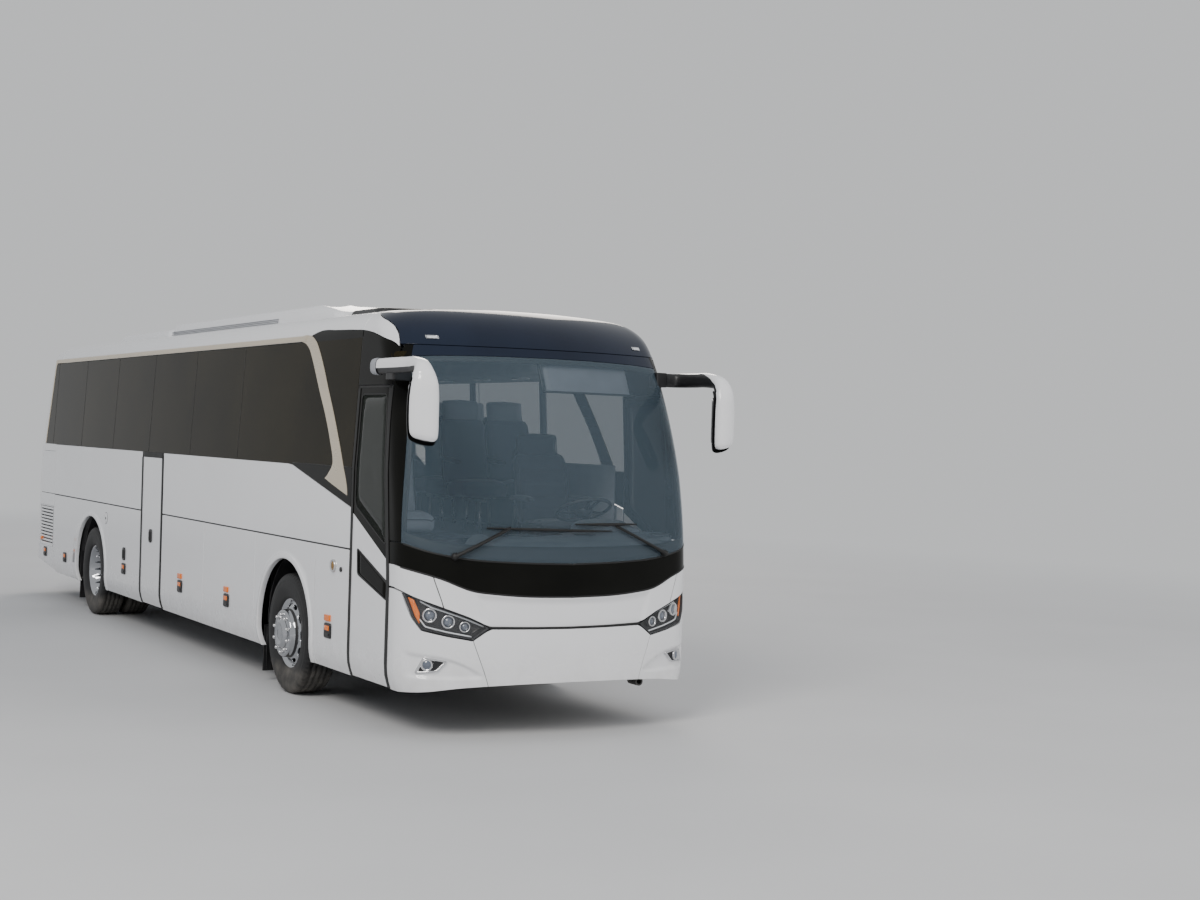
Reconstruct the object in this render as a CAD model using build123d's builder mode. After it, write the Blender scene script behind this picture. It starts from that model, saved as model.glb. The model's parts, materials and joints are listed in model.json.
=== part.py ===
from build123d import *
import math
import os

# A touring coach of 12.75 m, in millimetres. It faces -Y, its doors are on the -X side, +Z is up,
# and the origin is on the ground, in the middle of its length and width.

os.makedirs("parts", exist_ok=True)

# Main sizes of the body
HALF_WIDTH = 1275.0
SKIRT_Z = 335.0
BELT_Z = 2000.0
ROOF_Z = 3310.0
NOSE_Y = -6165.0
TAIL_Y = 6585.0
NOSE_SEAM_Y = -4775.0
TAIL_SEAM_Y = 5440.0
ROOF_SEAM_Z = 3140.0
WALL = 60.0
GLASS = 12.0
FRONT_AXLE_Y = -3375.0
REAR_AXLE_Y = 3375.0

# Cross section: the skirt tucks in, the side leans in above the belt, a cove leads to the crown
TUCK_R = 448.0
TUCK_Z = 520.0
LEAN = math.radians(3.37)
COVE_R = 200.0
COVE_Z = 3070.0
COVE_END_Z = COVE_Z + COVE_R * math.sin(LEAN)
COVE_X = HALF_WIDTH - (COVE_END_Z - BELT_Z) * math.tan(LEAN) - COVE_R * math.cos(LEAN)
CROWN_R = (COVE_X**2 + (ROOF_Z - COVE_Z) ** 2 - COVE_R**2) / (2 * (ROOF_Z - COVE_Z - COVE_R))
CROWN_SLOPE = math.asin(COVE_X / (CROWN_R - COVE_R))

# Nose and tail: upright to one height, leaning back on an arc to the dome, plan radius, corner radius
NOSE = {"face": NOSE_Y, "inward": 1, "upright": 1100, "dome": 2960, "lean": 470, "plan": 2950, "corner": 330}
TAIL = {"face": TAIL_Y, "inward": -1, "upright": 1000, "dome": 3100, "lean": 450, "plan": 6000, "corner": 220}
LOW_LEVELS = (335, 520, 900, 1500, 2000, 2500, 2960)
DOME_LEVELS = (2900, 3000, 3081)
CAP_SPLIT_Z = 2930.0

# Lines across the front: height in the middle, knee where the arc ends, runs outwards to the corner
SCREEN_SEAM = (1320, (950, 1362), ((1185, 1440), (1400, 1520)))
SCREEN_SILL = (1400, (950, 1442), ((1185, 1520), (1400, 1600)))
PANEL_SEAM = (1066, (750, 1092), ((1080, 1232), (1400, 1372)))
MASK_EDGE = (842, (700, 844), ((1400, 846),))
BUMPER_TOP = (828, (700, 830), ((1400, 832),))
BUMPER_EDGE = (432, (700, 412), ((1400, 330),))
CAP_EDGE = (CAP_SPLIT_Z - 1, (900, CAP_SPLIT_Z), ((1400, CAP_SPLIT_Z),))
SCREEN_TOP = (2919, (900, 2920), ((1400, 2920),))
VIEW_TOP = (2849, (900, 2850), ((1400, 2850),))
SCREEN_SIDE = [(-6400, 1200), (-5680, 1200), (-5525, 2920), (-6400, 2920)]
VIEW_SIDE = [(-6400, 1200), (-5770, 1200), (-5610, 2860), (-6400, 2860)]
BLOCK_OVERLAP = 300.0
HEADLAMP = [
    (658, 836), (784, 749), (970, 782), (1150, 824), (1209, 918), (1256, 1098), (1090, 1017), (826, 920),
]
HEADLAMP_END_Y = -5755.0
WIPERS = (
    {"pivot": (-927, 1378), "tip": (-514, 1595), "blade": ((-693, 1595), (354, 1573))},
    {"pivot": (910, 1390), "tip": (388, 1612), "blade": ((25, 1628), (603, 1626))},
)

# Openings and panels of the sides, as seen from the side: y, z
DOOR_SEAL = 20.0
DOOR_HOLE = [(-4775, 200), (-5585, 200), (-5585, 1150), (-5435, 2660), (-4775, 2660)]
DOOR_LEAF = [(-4795, 345), (-5565, 345), (-5565, 1150), (-5417, 2640), (-4795, 2640)]
CAB_PANEL = [(-4775, 335), (-5579, 335), (-5579, 1150), (-5429, 2654), (-4775, 2654)]
DOOR_PANE = [(-4830, 1690), (-4830, 2605), (-5378, 2605), (-5496, 1430)]
DOOR_VIEW = [(-4860, 1730), (-4860, 2575), (-5348, 2575), (-5458, 1490)]
DOOR_LOW_PANE = [(-4950, 1364), (-4945, 1181), (-5520, 1025), (-5520, 1170)]
DOOR_LOW_VIEW = [(-4975, 1338), (-4972, 1205), (-5495, 1052), (-5495, 1150)]
QUARTER_PANE = [(-4790, 2690), (-4790, 2925), (-5435, 2925), (-5420, 2690)]
MIDDLE_DOOR = (510, 1328, 1960)
SIDE_PANE = [(6005, 2000), (5785, 3050), (-4760, 3050), (-4760, 1700), (-3425, 1994)]
FRONT_BAY = [(-4690, 1775), (-4690, 2990), (-3440, 2990), (-3440, 2060)]
WINDOW_BAYS = 6
BAY_PITCH = 1500.0
PILLAR = 110.0
BAY_START_Y = -3340.0
SILL_Z = 2060.0
HEADER_Z = 2990.0

# Wheel arches: y, z, radius
FRONT_ARCH = (-3355, 545, 620)
REAR_ARCH = (3405, 545, 650)

# Flaps along the skirt, hinged at their top: name, side, y from, y to
FLAP_TOP_Z = 1350.0
SEAM = 6.0
FLAPS = (
    ("right_service_flap", -1, -4765, -4010),
    ("right_luggage_flap_1", -1, -2488, -953),
    ("right_luggage_flap_2", -1, -953, 510),
    ("right_rear_flap", -1, 1328, 2700),
    ("left_luggage_flap_1", 1, -2488, -953),
    ("left_luggage_flap_2", 1, -953, 510),
)

# Wheels: the tyres are 295 wide and 1044 high, the rear ones are twins
TYRE_R = 522.0
TYRE_W = 295.0
TRACK_X = 1085.0
TWIN_X = 755.0
RIM_R = 292.0
NOTCH_X = 97.0
NOTCH_R = 306.5
KINGPIN_X = 880.0


def side_prism(points, x_from, x_to):
    """A prism along X over an outline given as y, z."""
    with BuildPart() as prism:
        with BuildSketch(Plane.YZ.offset(x_from)):
            with BuildLine():
                Polyline(*points, close=True)
            make_face()
        extrude(amount=x_to - x_from)
    return prism.part


def side_disc(y, z, radius, x_from, x_to):
    """A cylinder along X about y, z."""
    with BuildPart() as disc:
        with BuildSketch(Plane.YZ.offset(x_from)):
            with Locations((y, z)):
                Circle(radius)
        extrude(amount=x_to - x_from)
    return disc.part


def block(x_from, x_to, y_from, y_to, z_from, z_to):
    """A plain box between two corners."""
    with BuildPart() as solid:
        with BuildSketch(Plane.XY.offset(z_from)):
            with Locations(((x_from + x_to) / 2, (y_from + y_to) / 2)):
                Rectangle(x_to - x_from, y_to - y_from)
        extrude(amount=z_to - z_from)
    return solid.part


def front_prism(lower, upper, y_from=-6400.0, y_to=-5000.0):
    """A prism along Y between two lines across the front.
    A line is the height in the middle, the knee where its arc ends, and straight runs outwards."""
    with BuildPart() as prism:
        with BuildSketch(Plane.XZ.offset(-y_to)):
            with BuildLine():
                for middle_z, knee, outer in (lower, upper):
                    ThreePointArc((-knee[0], knee[1]), (0, middle_z), knee)
                    for sign in (-1, 1):
                        Polyline(*[(sign * x, z) for x, z in (knee, *outer)])
                for sign in (-1, 1):
                    Line(*[(sign * x, z) for x, z in (lower[2][-1], upper[2][-1])])
            make_face()
        extrude(amount=y_to - y_from)
    return prism.part


def front_shape(points, y_to, y_from=-6400.0):
    """A prism along Y over an outline given as x, z, with its mirror image."""
    with BuildPart() as prism:
        with BuildSketch(Plane.XZ.offset(-y_to)):
            with BuildLine():
                Polyline(*points, close=True)
            make_face()
            mirror(about=Plane.YZ)
        extrude(amount=y_to - y_from)
    return prism.part


def both_sides(points, x_from=1000.0, x_to=1500.0):
    """The same side outline cut through the left and the right wall."""
    with BuildPart() as pair:
        add(side_prism(points, x_from, x_to))
        add(side_prism(points, -x_to, -x_from))
    return pair.part


def half_width(z, inset):
    """Half width of the body at a height, taken in by the inset."""
    if z < TUCK_Z:
        return HALF_WIDTH - TUCK_R + math.sqrt((TUCK_R - inset) ** 2 - (TUCK_Z - z) ** 2)
    if z < BELT_Z:
        return HALF_WIDTH - inset
    if z < COVE_Z + (COVE_R - inset) * math.sin(LEAN):
        return HALF_WIDTH - inset - (z - BELT_Z) * math.tan(LEAN)
    if z <= cove_top(inset):
        return COVE_X + math.sqrt((COVE_R - inset) ** 2 - (z - COVE_Z) ** 2)
    return math.sqrt(2 * CROWN_R * (ROOF_Z - inset - z))


def cove_top(inset):
    """Height where the cove meets the crown."""
    return COVE_Z + (COVE_R - inset) * math.cos(CROWN_SLOPE)


def setback(end, z, inset):
    """How far the face stands back at a height: upright, then an arc, then the dome's arc."""
    rise = end["dome"] - end["upright"]
    face_r = (rise**2 + end["lean"] ** 2) / (2 * end["lean"])
    tilt = math.asin(rise / face_r)
    dome_r = (ROOF_Z - end["dome"]) / (1 - math.sin(tilt))
    if z < end["upright"]:
        return inset
    if z < end["dome"] - inset * math.sin(tilt):
        return face_r - math.sqrt((face_r - inset) ** 2 - (z - end["upright"]) ** 2)
    dome_z = end["dome"] - dome_r * math.sin(tilt)
    return end["lean"] + dome_r * math.cos(tilt) - math.sqrt((dome_r - inset) ** 2 - (z - dome_z) ** 2)


def plan_outline(end, z, inset):
    """Plan of the nose or tail at one height: the face's arc, two corner arcs and straight sides."""
    inward = end["inward"]
    side = half_width(z, inset)
    back = setback(end, z, inset)
    axis_y = end["face"] + inward * end["plan"]
    face_r = end["plan"] - back
    corner_r = min(end["corner"] - inset, 0.55 * side)
    corner_x = side - corner_r
    corner_y = axis_y - inward * math.sqrt((face_r - corner_r) ** 2 - corner_x**2)
    reach = face_r / (face_r - corner_r)
    joint = Vector(corner_x * reach, axis_y + (corner_y - axis_y) * reach)
    centre = Vector(corner_x, corner_y)
    middle = centre + ((joint - centre) + Vector(corner_r, 0)).normalized() * corner_r
    cut_y = (NOSE_SEAM_Y if inward > 0 else TAIL_SEAM_Y) + inward * BLOCK_OVERLAP
    with BuildSketch(Plane.XY.offset(z)) as outline:
        with BuildLine():
            nose_tip = (0, end["face"] + inward * back)
            ThreePointArc(nose_tip, _on_arc(joint, axis_y, face_r), (joint.X, joint.Y))
            ThreePointArc((joint.X, joint.Y), (middle.X, middle.Y), (side, corner_y))
            Line((side, corner_y), (side, cut_y))
            Line((side, cut_y), (0, cut_y))
            mirror(about=Plane.YZ)
        make_face()
    return outline.sketch.face()


def _on_arc(joint, axis_y, radius):
    """The point of the face's arc half way between its middle and the corner."""
    half = math.asin(joint.X / radius) / 2
    return (radius * math.sin(half), axis_y + math.copysign(radius * math.cos(half), joint.Y - axis_y))


def low_block(end, inset):
    """The nose or tail up to the dome."""
    levels = list(LOW_LEVELS)
    if inset > 0:
        levels[0] = SKIRT_Z - 20
    with BuildPart() as solid:
        loft([plan_outline(end, z, inset) for z in levels])
    return solid.part


def dome_block(end, inset):
    """The dome above the nose or tail: a smooth loft over the cove and two flat cones over the crown."""
    top = cove_top(inset)
    rise = top - COVE_Z
    crown = ROOF_Z - inset
    with BuildPart() as solid:
        levels = (*DOME_LEVELS, COVE_Z + 0.57 * rise, COVE_Z + 0.87 * rise, top)
        loft([plan_outline(end, z, inset) for z in levels])
        loft([plan_outline(end, z, inset) for z in (top, crown - 25, crown - 8)], ruled=True)
    return solid.part


def body_block(inset, y_from, y_to):
    """The middle of the body, straight along Y, taken in by the inset."""
    low = SKIRT_Z if inset <= 0 else SKIRT_Z - 40
    cove = COVE_R - inset
    bend = (LEAN + math.pi / 2 - CROWN_SLOPE) / 2
    side = HALF_WIDTH - inset
    cove_end = (COVE_X + cove * math.sin(CROWN_SLOPE), cove_top(inset))
    crown = CROWN_R - inset
    crown_mid = (crown * math.sin(CROWN_SLOPE / 2), ROOF_Z - CROWN_R + crown * math.cos(CROWN_SLOPE / 2))
    with BuildPart() as solid:
        with BuildSketch(Plane.XZ.offset(-y_to)):
            with BuildLine():
                Line((0, low), (half_width(low, inset), low))
                ThreePointArc((half_width(low, inset), low), (half_width(430, inset), 430), (side, TUCK_Z))
                Line((side, TUCK_Z), (side, BELT_Z))
                Line((side, BELT_Z), (COVE_X + cove * math.cos(LEAN), COVE_Z + cove * math.sin(LEAN)))
                ThreePointArc(
                    (COVE_X + cove * math.cos(LEAN), COVE_Z + cove * math.sin(LEAN)),
                    (COVE_X + cove * math.cos(bend), COVE_Z + cove * math.sin(bend)),
                    cove_end,
                )
                ThreePointArc(cove_end, crown_mid, (0, ROOF_Z - inset))
                mirror(about=Plane.YZ)
            make_face()
        extrude(amount=y_to - y_from)
    return solid.part


with BuildPart() as body_wall:
    add(body_block(0, NOSE_SEAM_Y, TAIL_SEAM_Y))
    add(body_block(WALL, NOSE_SEAM_Y, TAIL_SEAM_Y), mode=Mode.SUBTRACT)

with BuildPart() as body_pane:
    add(body_block(0, NOSE_SEAM_Y, 6010))
    add(body_block(GLASS, NOSE_SEAM_Y, 6010), mode=Mode.SUBTRACT)

with BuildPart() as nose_wall:
    add(low_block(NOSE, 0))
    add(low_block(NOSE, WALL), mode=Mode.SUBTRACT)
    add(block(-1400, 1400, -6300, NOSE_SEAM_Y, 0, 3100), mode=Mode.INTERSECT)

with BuildPart() as nose_pane:
    add(low_block(NOSE, 0))
    add(low_block(NOSE, GLASS), mode=Mode.SUBTRACT)
    add(block(-1400, 1400, -6300, NOSE_SEAM_Y, 0, 3100), mode=Mode.INTERSECT)

with BuildPart() as tail_wall:
    add(low_block(TAIL, 0))
    add(low_block(TAIL, WALL), mode=Mode.SUBTRACT)
    add(block(-1400, 1400, TAIL_SEAM_Y, 6700, 0, 3100), mode=Mode.INTERSECT)

with BuildPart() as tail_pane:
    add(low_block(TAIL, 0))
    add(low_block(TAIL, GLASS), mode=Mode.SUBTRACT)
    add(block(-1400, 1400, 6000, 6700, 0, 3100), mode=Mode.INTERSECT)

# The rear end's underside sweeps up behind the rear axle
UPSWEEP = side_prism([(5225, 100), (5225, 335), (6700, 514), (6700, 100)], -1400, 1400)

# Glass of the sides: one long dark pane a side, a quarter pane over the door and the cab window
for side_name, sign in (("right", -1), ("left", 1)):
    low_x, high_x = sorted((sign * 1000, sign * 1500))
    with BuildPart() as side_glass:
        add(body_pane.part)
        add(side_prism(SIDE_PANE, low_x, high_x), mode=Mode.INTERSECT)
    with BuildPart() as quarter_glass:
        add(nose_pane.part)
        add(side_prism(QUARTER_PANE, low_x, high_x), mode=Mode.INTERSECT)
    if sign < 0:
        right_pane = side_glass.part
        right_quarter = quarter_glass.part
    else:
        left_pane = side_glass.part
        left_quarter = quarter_glass.part

with BuildPart() as cab_pane:
    add(nose_pane.part)
    add(side_prism(DOOR_PANE, 1000, 1500), mode=Mode.INTERSECT)

with BuildPart() as right_glass:
    add(right_pane)
    add(right_quarter)
right_glass.part.label = "right_glass"
export_step(right_glass.part, "parts/right_glass.step")

with BuildPart() as left_glass:
    add(left_pane)
    add(left_quarter)
    add(cab_pane.part)
left_glass.part.label = "left_glass"
export_step(left_glass.part, "parts/left_glass.step")

# Side walls: skirt, belt, pillars and cant rail, open at arches, flaps, windows and the middle door
for side_name, sign in (("right", -1), ("left", 1)):
    low_x, high_x = sorted((sign * 1000, sign * 1500))
    with BuildPart() as side_wall:
        add(body_wall.part)
        add(block(low_x, high_x, NOSE_SEAM_Y, TAIL_SEAM_Y, 0, ROOF_SEAM_Z), mode=Mode.INTERSECT)
        for arch_y, arch_z, arch_r in (FRONT_ARCH, REAR_ARCH):
            add(side_disc(arch_y, arch_z, arch_r, low_x, high_x), mode=Mode.SUBTRACT)
        for flap_name, flap_sign, y_from, y_to in FLAPS:
            if flap_sign == sign:
                add(block(low_x, high_x, y_from, y_to, 200, FLAP_TOP_Z), mode=Mode.SUBTRACT)
        add(right_pane if sign < 0 else left_pane, mode=Mode.SUBTRACT)
        add(side_prism(FRONT_BAY, low_x, high_x), mode=Mode.SUBTRACT)
        for bay in range(WINDOW_BAYS):
            bay_y = BAY_START_Y + bay * BAY_PITCH
            bay_end = min(bay_y + BAY_PITCH - PILLAR, TAIL_SEAM_Y - PILLAR)
            add(block(low_x, high_x, bay_y, bay_end, SILL_Z, HEADER_Z), mode=Mode.SUBTRACT)
        if sign < 0:
            add(block(low_x, high_x, MIDDLE_DOOR[0], MIDDLE_DOOR[1], 200, MIDDLE_DOOR[2]), mode=Mode.SUBTRACT)
        add(UPSWEEP, mode=Mode.SUBTRACT)
    side_wall.part.label = side_name + "_wall"
    export_step(side_wall.part, "parts/" + side_name + "_wall.step")

# Skirt flaps, each hinged along its top edge
for flap_name, flap_sign, y_from, y_to in FLAPS:
    low_x, high_x = sorted((flap_sign * 1000, flap_sign * 1500))
    with BuildPart() as flap:
        add(body_wall.part)
        add(block(low_x, high_x, y_from + SEAM, y_to - SEAM, 0, FLAP_TOP_Z - SEAM), mode=Mode.INTERSECT)
    flap.part.label = flap_name
    export_step(flap.part, "parts/" + flap_name + ".step")

with BuildPart() as rear_cap:
    add(dome_block(TAIL, 0))
    add(dome_block(TAIL, WALL), mode=Mode.SUBTRACT)
    add(block(-1400, 1400, TAIL_SEAM_Y, 6700, CAP_SPLIT_Z, 3600), mode=Mode.INTERSECT)
    for pane in (right_pane, left_pane):
        add(pane, mode=Mode.SUBTRACT)
rear_cap.part.label = "rear_cap"
export_step(rear_cap.part, "parts/rear_cap.step")

with BuildPart() as roof:
    add(body_wall.part)
    add(block(-1400, 1400, NOSE_SEAM_Y, TAIL_SEAM_Y, ROOF_SEAM_Z, 3600), mode=Mode.INTERSECT)
roof.part.label = "roof"
export_step(roof.part, "parts/roof.step")

# Nose: domed cap, glazed front frame, black wiper panel, white mask and bumper
with BuildPart() as front_cap:
    add(dome_block(NOSE, 0))
    add(dome_block(NOSE, WALL), mode=Mode.SUBTRACT)
    add(block(-1400, 1400, -6300, NOSE_SEAM_Y, CAP_SPLIT_Z, 3600), mode=Mode.INTERSECT)
front_cap.part.label = "front_cap"
export_step(front_cap.part, "parts/front_cap.step")

with BuildPart() as windscreen:
    add(nose_pane.part)
    add(front_prism(SCREEN_SEAM, SCREEN_TOP), mode=Mode.INTERSECT)
    add(side_prism(SCREEN_SIDE, -1500, 1500), mode=Mode.INTERSECT)
windscreen.part.label = "windscreen"
export_step(windscreen.part, "parts/windscreen.step")

with BuildPart() as screen_view:
    add(front_prism(SCREEN_SILL, VIEW_TOP))
    add(side_prism(VIEW_SIDE, -1500, 1500), mode=Mode.INTERSECT)

with BuildPart() as front_frame:
    add(nose_wall.part)
    add(front_prism(SCREEN_SEAM, CAP_EDGE, y_to=NOSE_SEAM_Y), mode=Mode.INTERSECT)
    add(windscreen.part, mode=Mode.SUBTRACT)
    add(screen_view.part, mode=Mode.SUBTRACT)
    add(side_prism(DOOR_HOLE, -1500, -1000), mode=Mode.SUBTRACT)
    add(side_prism(CAB_PANEL, 1000, 1500), mode=Mode.SUBTRACT)
    for pane in (right_quarter, left_quarter):
        add(pane, mode=Mode.SUBTRACT)
    add(both_sides([(-4840, 2730), (-4840, 2890), (-5400, 2890), (-5385, 2730)]), mode=Mode.SUBTRACT)
front_frame.part.label = "front_frame"
export_step(front_frame.part, "parts/front_frame.step")

with BuildPart() as cab_panel:
    add(nose_wall.part)
    add(side_prism(CAB_PANEL, 1000, 1500), mode=Mode.INTERSECT)
    add(cab_pane.part, mode=Mode.SUBTRACT)
    add(side_prism(DOOR_VIEW, 1000, 1500), mode=Mode.SUBTRACT)
cab_panel.part.label = "cab_panel"
export_step(cab_panel.part, "parts/cab_panel.step")

with BuildPart() as lamp_shape:
    add(front_shape(HEADLAMP, y_to=HEADLAMP_END_Y))

with BuildPart() as side_cut:
    add(side_prism(DOOR_HOLE, -1500, -1000))
    add(side_prism(DOOR_HOLE, 1000, 1500))

for panel_name, lower, upper in (
    ("wiper_panel", PANEL_SEAM, SCREEN_SEAM),
    ("front_mask", MASK_EDGE, PANEL_SEAM),
    ("front_bumper", BUMPER_EDGE, BUMPER_TOP),
):
    with BuildPart() as panel:
        add(nose_wall.part)
        add(front_prism(lower, upper), mode=Mode.INTERSECT)
        add(side_cut.part, mode=Mode.SUBTRACT)
        if panel_name != "wiper_panel":
            add(lamp_shape.part, mode=Mode.SUBTRACT)
        for sign in (-1, 1):
            add(block(sign * 1250 - 150, sign * 1250 + 150, -5580, -4900, 200, 3000), mode=Mode.SUBTRACT)
    panel.part.label = panel_name
    export_step(panel.part, "parts/" + panel_name + ".step")

with BuildPart() as head_lamps:
    add(nose_wall.part)
    add(lamp_shape.part, mode=Mode.INTERSECT)
head_lamps.part.label = "head_lamps"
export_step(head_lamps.part, "parts/head_lamps.step")

# Front door: a plug leaf with a tall pane and a low pane, carried by two swing arms on a column
with BuildPart() as door_panes:
    add(nose_pane.part)
    add(side_prism(DOOR_PANE, -1500, -1000), mode=Mode.INTERSECT)

with BuildPart() as door_low_pane:
    add(nose_pane.part)
    add(side_prism(DOOR_LOW_PANE, -1500, -1000), mode=Mode.INTERSECT)

with BuildPart() as front_door_glass:
    add(door_panes.part)
    add(door_low_pane.part)
front_door_glass.part.label = "front_door_glass"
export_step(front_door_glass.part, "parts/front_door_glass.step")

# Swing arms: column place, arm vector to the leaf's pin, heights of the two arms
ARM_VECTOR = (-50.0, 480.0)
ARM_TURN = math.degrees(math.atan2(ARM_VECTOR[1], ARM_VECTOR[0]))
COLUMN_X = -1120.0
COLUMN_R = 20.0
ARM_HALF = 11.0
PIN_R = 8.0
ARM_EYE_R = 22.0
DOORS = (
    {"name": "front_door", "column_y": -5475.0, "arms": (700.0, 1560.0), "column": (486.0, 2300.0)},
    {"name": "middle_door", "column_y": 620.0, "arms": (760.0, 1700.0), "column": (506.0, 1900.0)},
)


def swing_arm(door):
    """A column with an arm near its foot and one near its head."""
    pin = (COLUMN_X + ARM_VECTOR[0], door["column_y"] + ARM_VECTOR[1])
    with BuildPart() as arm:
        with BuildSketch(Plane.XY.offset(door["column"][0])):
            with Locations((COLUMN_X, door["column_y"])):
                Circle(COLUMN_R)
        extrude(amount=door["column"][1] - door["column"][0])
        for arm_z in door["arms"]:
            with BuildSketch(Plane.XY.offset(arm_z - ARM_HALF)):
                with Locations((COLUMN_X + ARM_VECTOR[0] / 2, door["column_y"] + ARM_VECTOR[1] / 2)):
                    SlotCenterToCenter(math.hypot(*ARM_VECTOR), 2 * ARM_HALF, rotation=ARM_TURN)
                with Locations(pin):
                    Circle(ARM_EYE_R)
                    Circle(PIN_R + 0.4, mode=Mode.SUBTRACT)
            extrude(amount=2 * ARM_HALF)
    return arm.part


def leaf_brackets(door, inner_x):
    """A fork above and below each arm's eye, with the pin through it."""
    pin = (COLUMN_X + ARM_VECTOR[0], door["column_y"] + ARM_VECTOR[1])
    with BuildPart() as brackets:
        for arm_z in door["arms"]:
            for ear_z in (arm_z - ARM_HALF - 14, arm_z + ARM_HALF + 4):
                with BuildSketch(Plane.XY.offset(ear_z)):
                    with Locations(((pin[0] + inner_x) / 2 + 5, pin[1])):
                        Rectangle(pin[0] - inner_x + 26, 50)
                extrude(amount=10)
            with BuildSketch(Plane.XY.offset(arm_z - ARM_HALF - 10)):
                with Locations(pin):
                    Circle(PIN_R)
            extrude(amount=2 * ARM_HALF + 20)
    return brackets.part


with BuildPart() as front_door:
    add(nose_wall.part)
    add(side_prism(DOOR_LEAF, -1500, -1000), mode=Mode.INTERSECT)
    add(front_door_glass.part, mode=Mode.SUBTRACT)
    add(side_prism(DOOR_VIEW, -1500, -1000), mode=Mode.SUBTRACT)
    add(side_prism(DOOR_LOW_VIEW, -1500, -1000), mode=Mode.SUBTRACT)
    add(leaf_brackets(DOORS[0], -1222))
front_door.part.label = "front_door"
export_step(front_door.part, "parts/front_door.step")

leaf_front_y, leaf_rear_y = MIDDLE_DOOR[0] + DOOR_SEAL, MIDDLE_DOOR[1] - DOOR_SEAL
with BuildPart() as middle_door:
    add(body_wall.part)
    add(block(-1400, -1000, leaf_front_y, leaf_rear_y, 345, MIDDLE_DOOR[2] - DOOR_SEAL), mode=Mode.INTERSECT)
    add(leaf_brackets(DOORS[1], -1222))
middle_door.part.label = "middle_door"
export_step(middle_door.part, "parts/middle_door.step")

for door in DOORS:
    with BuildPart() as door_arm:
        add(swing_arm(door))
    door_arm.part.label = door["name"] + "_arm"
    export_step(door_arm.part, "parts/" + door["name"] + "_arm.step")

# Rear end: panel with louvred flanks, window, engine lid and lamps
LID = (850.0, 700.0, 1900.0)
REAR_PANE = (960.0, 2120.0, 2850.0)
TAIL_LAMP = (960.0, 1230.0, 900.0, 1650.0)
GRILLE = (5480.0, 6230.0, 670.0, 1190.0)
SLATS = 11

with BuildPart() as rear_window:
    add(tail_pane.part)
    add(block(-REAR_PANE[0], REAR_PANE[0], 6000, 6700, REAR_PANE[1], REAR_PANE[2]), mode=Mode.INTERSECT)
rear_window.part.label = "rear_window"
export_step(rear_window.part, "parts/rear_window.step")

with BuildPart() as lamp_boxes:
    add(block(TAIL_LAMP[0], TAIL_LAMP[1], 6200, 6700, TAIL_LAMP[2], TAIL_LAMP[3]))
    add(block(-TAIL_LAMP[1], -TAIL_LAMP[0], 6200, 6700, TAIL_LAMP[2], TAIL_LAMP[3]))

with BuildPart() as tail_lamps:
    add(tail_wall.part)
    add(lamp_boxes.part, mode=Mode.INTERSECT)
tail_lamps.part.label = "tail_lamps"
export_step(tail_lamps.part, "parts/tail_lamps.step")

with BuildPart() as rear_panel:
    add(tail_wall.part)
    add(block(-1400, 1400, TAIL_SEAM_Y, 6700, 0, CAP_SPLIT_Z), mode=Mode.INTERSECT)
    add(rear_window.part, mode=Mode.SUBTRACT)
    add(
        block(50 - REAR_PANE[0], REAR_PANE[0] - 50, 6000, 6700, REAR_PANE[1] + 50, REAR_PANE[2] - 50),
        mode=Mode.SUBTRACT,
    )
    add(block(-LID[0] - 8, LID[0] + 8, 6000, 6700, LID[1] - 8, LID[2] + 8), mode=Mode.SUBTRACT)
    add(lamp_boxes.part, mode=Mode.SUBTRACT)
    for sign in (-1, 1):
        low_x, high_x = sorted((sign * 1000, sign * 1500))
        for slat in range(SLATS):
            slot_z = GRILLE[2] + (slat + 0.5) * (GRILLE[3] - GRILLE[2]) / SLATS
            add(block(low_x, high_x, GRILLE[0], GRILLE[1], slot_z - 12, slot_z + 12), mode=Mode.SUBTRACT)
    for pane in (right_pane, left_pane):
        add(pane, mode=Mode.SUBTRACT)
    add(UPSWEEP, mode=Mode.SUBTRACT)
rear_panel.part.label = "rear_panel"
export_step(rear_panel.part, "parts/rear_panel.step")

with BuildPart() as engine_lid:
    add(tail_wall.part)
    add(block(-LID[0], LID[0], 6000, 6700, LID[1], LID[2]), mode=Mode.INTERSECT)
engine_lid.part.label = "engine_lid"
export_step(engine_lid.part, "parts/engine_lid.step")

# Blade trims: a satin strip along the top of the side glass that bends down into a blade
BLADE = [
    (5790, 3056), (5778, 3106), (-3455, 3106), (-3560, 3035), (-3850, 2820), (-4166, 2546), (-4400, 2275),
    (-4591, 2018), (-4677, 1849), (-4693, 1776), (-4450, 1830), (-4186, 1898), (-4270, 1945), (-4356, 2011),
    (-4175, 2280), (-3965, 2547), (-3690, 2820), (-3395, 3056),
]
with BuildPart() as blade_trims:
    add(body_block(-8, NOSE_SEAM_Y, 5800))
    add(body_block(0, NOSE_SEAM_Y, 5800), mode=Mode.SUBTRACT)
    add(dome_block(TAIL, 0), mode=Mode.SUBTRACT)
    add(both_sides(BLADE), mode=Mode.INTERSECT)
blade_trims.part.label = "blade_trims"
export_step(blade_trims.part, "parts/blade_trims.step")

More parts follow.
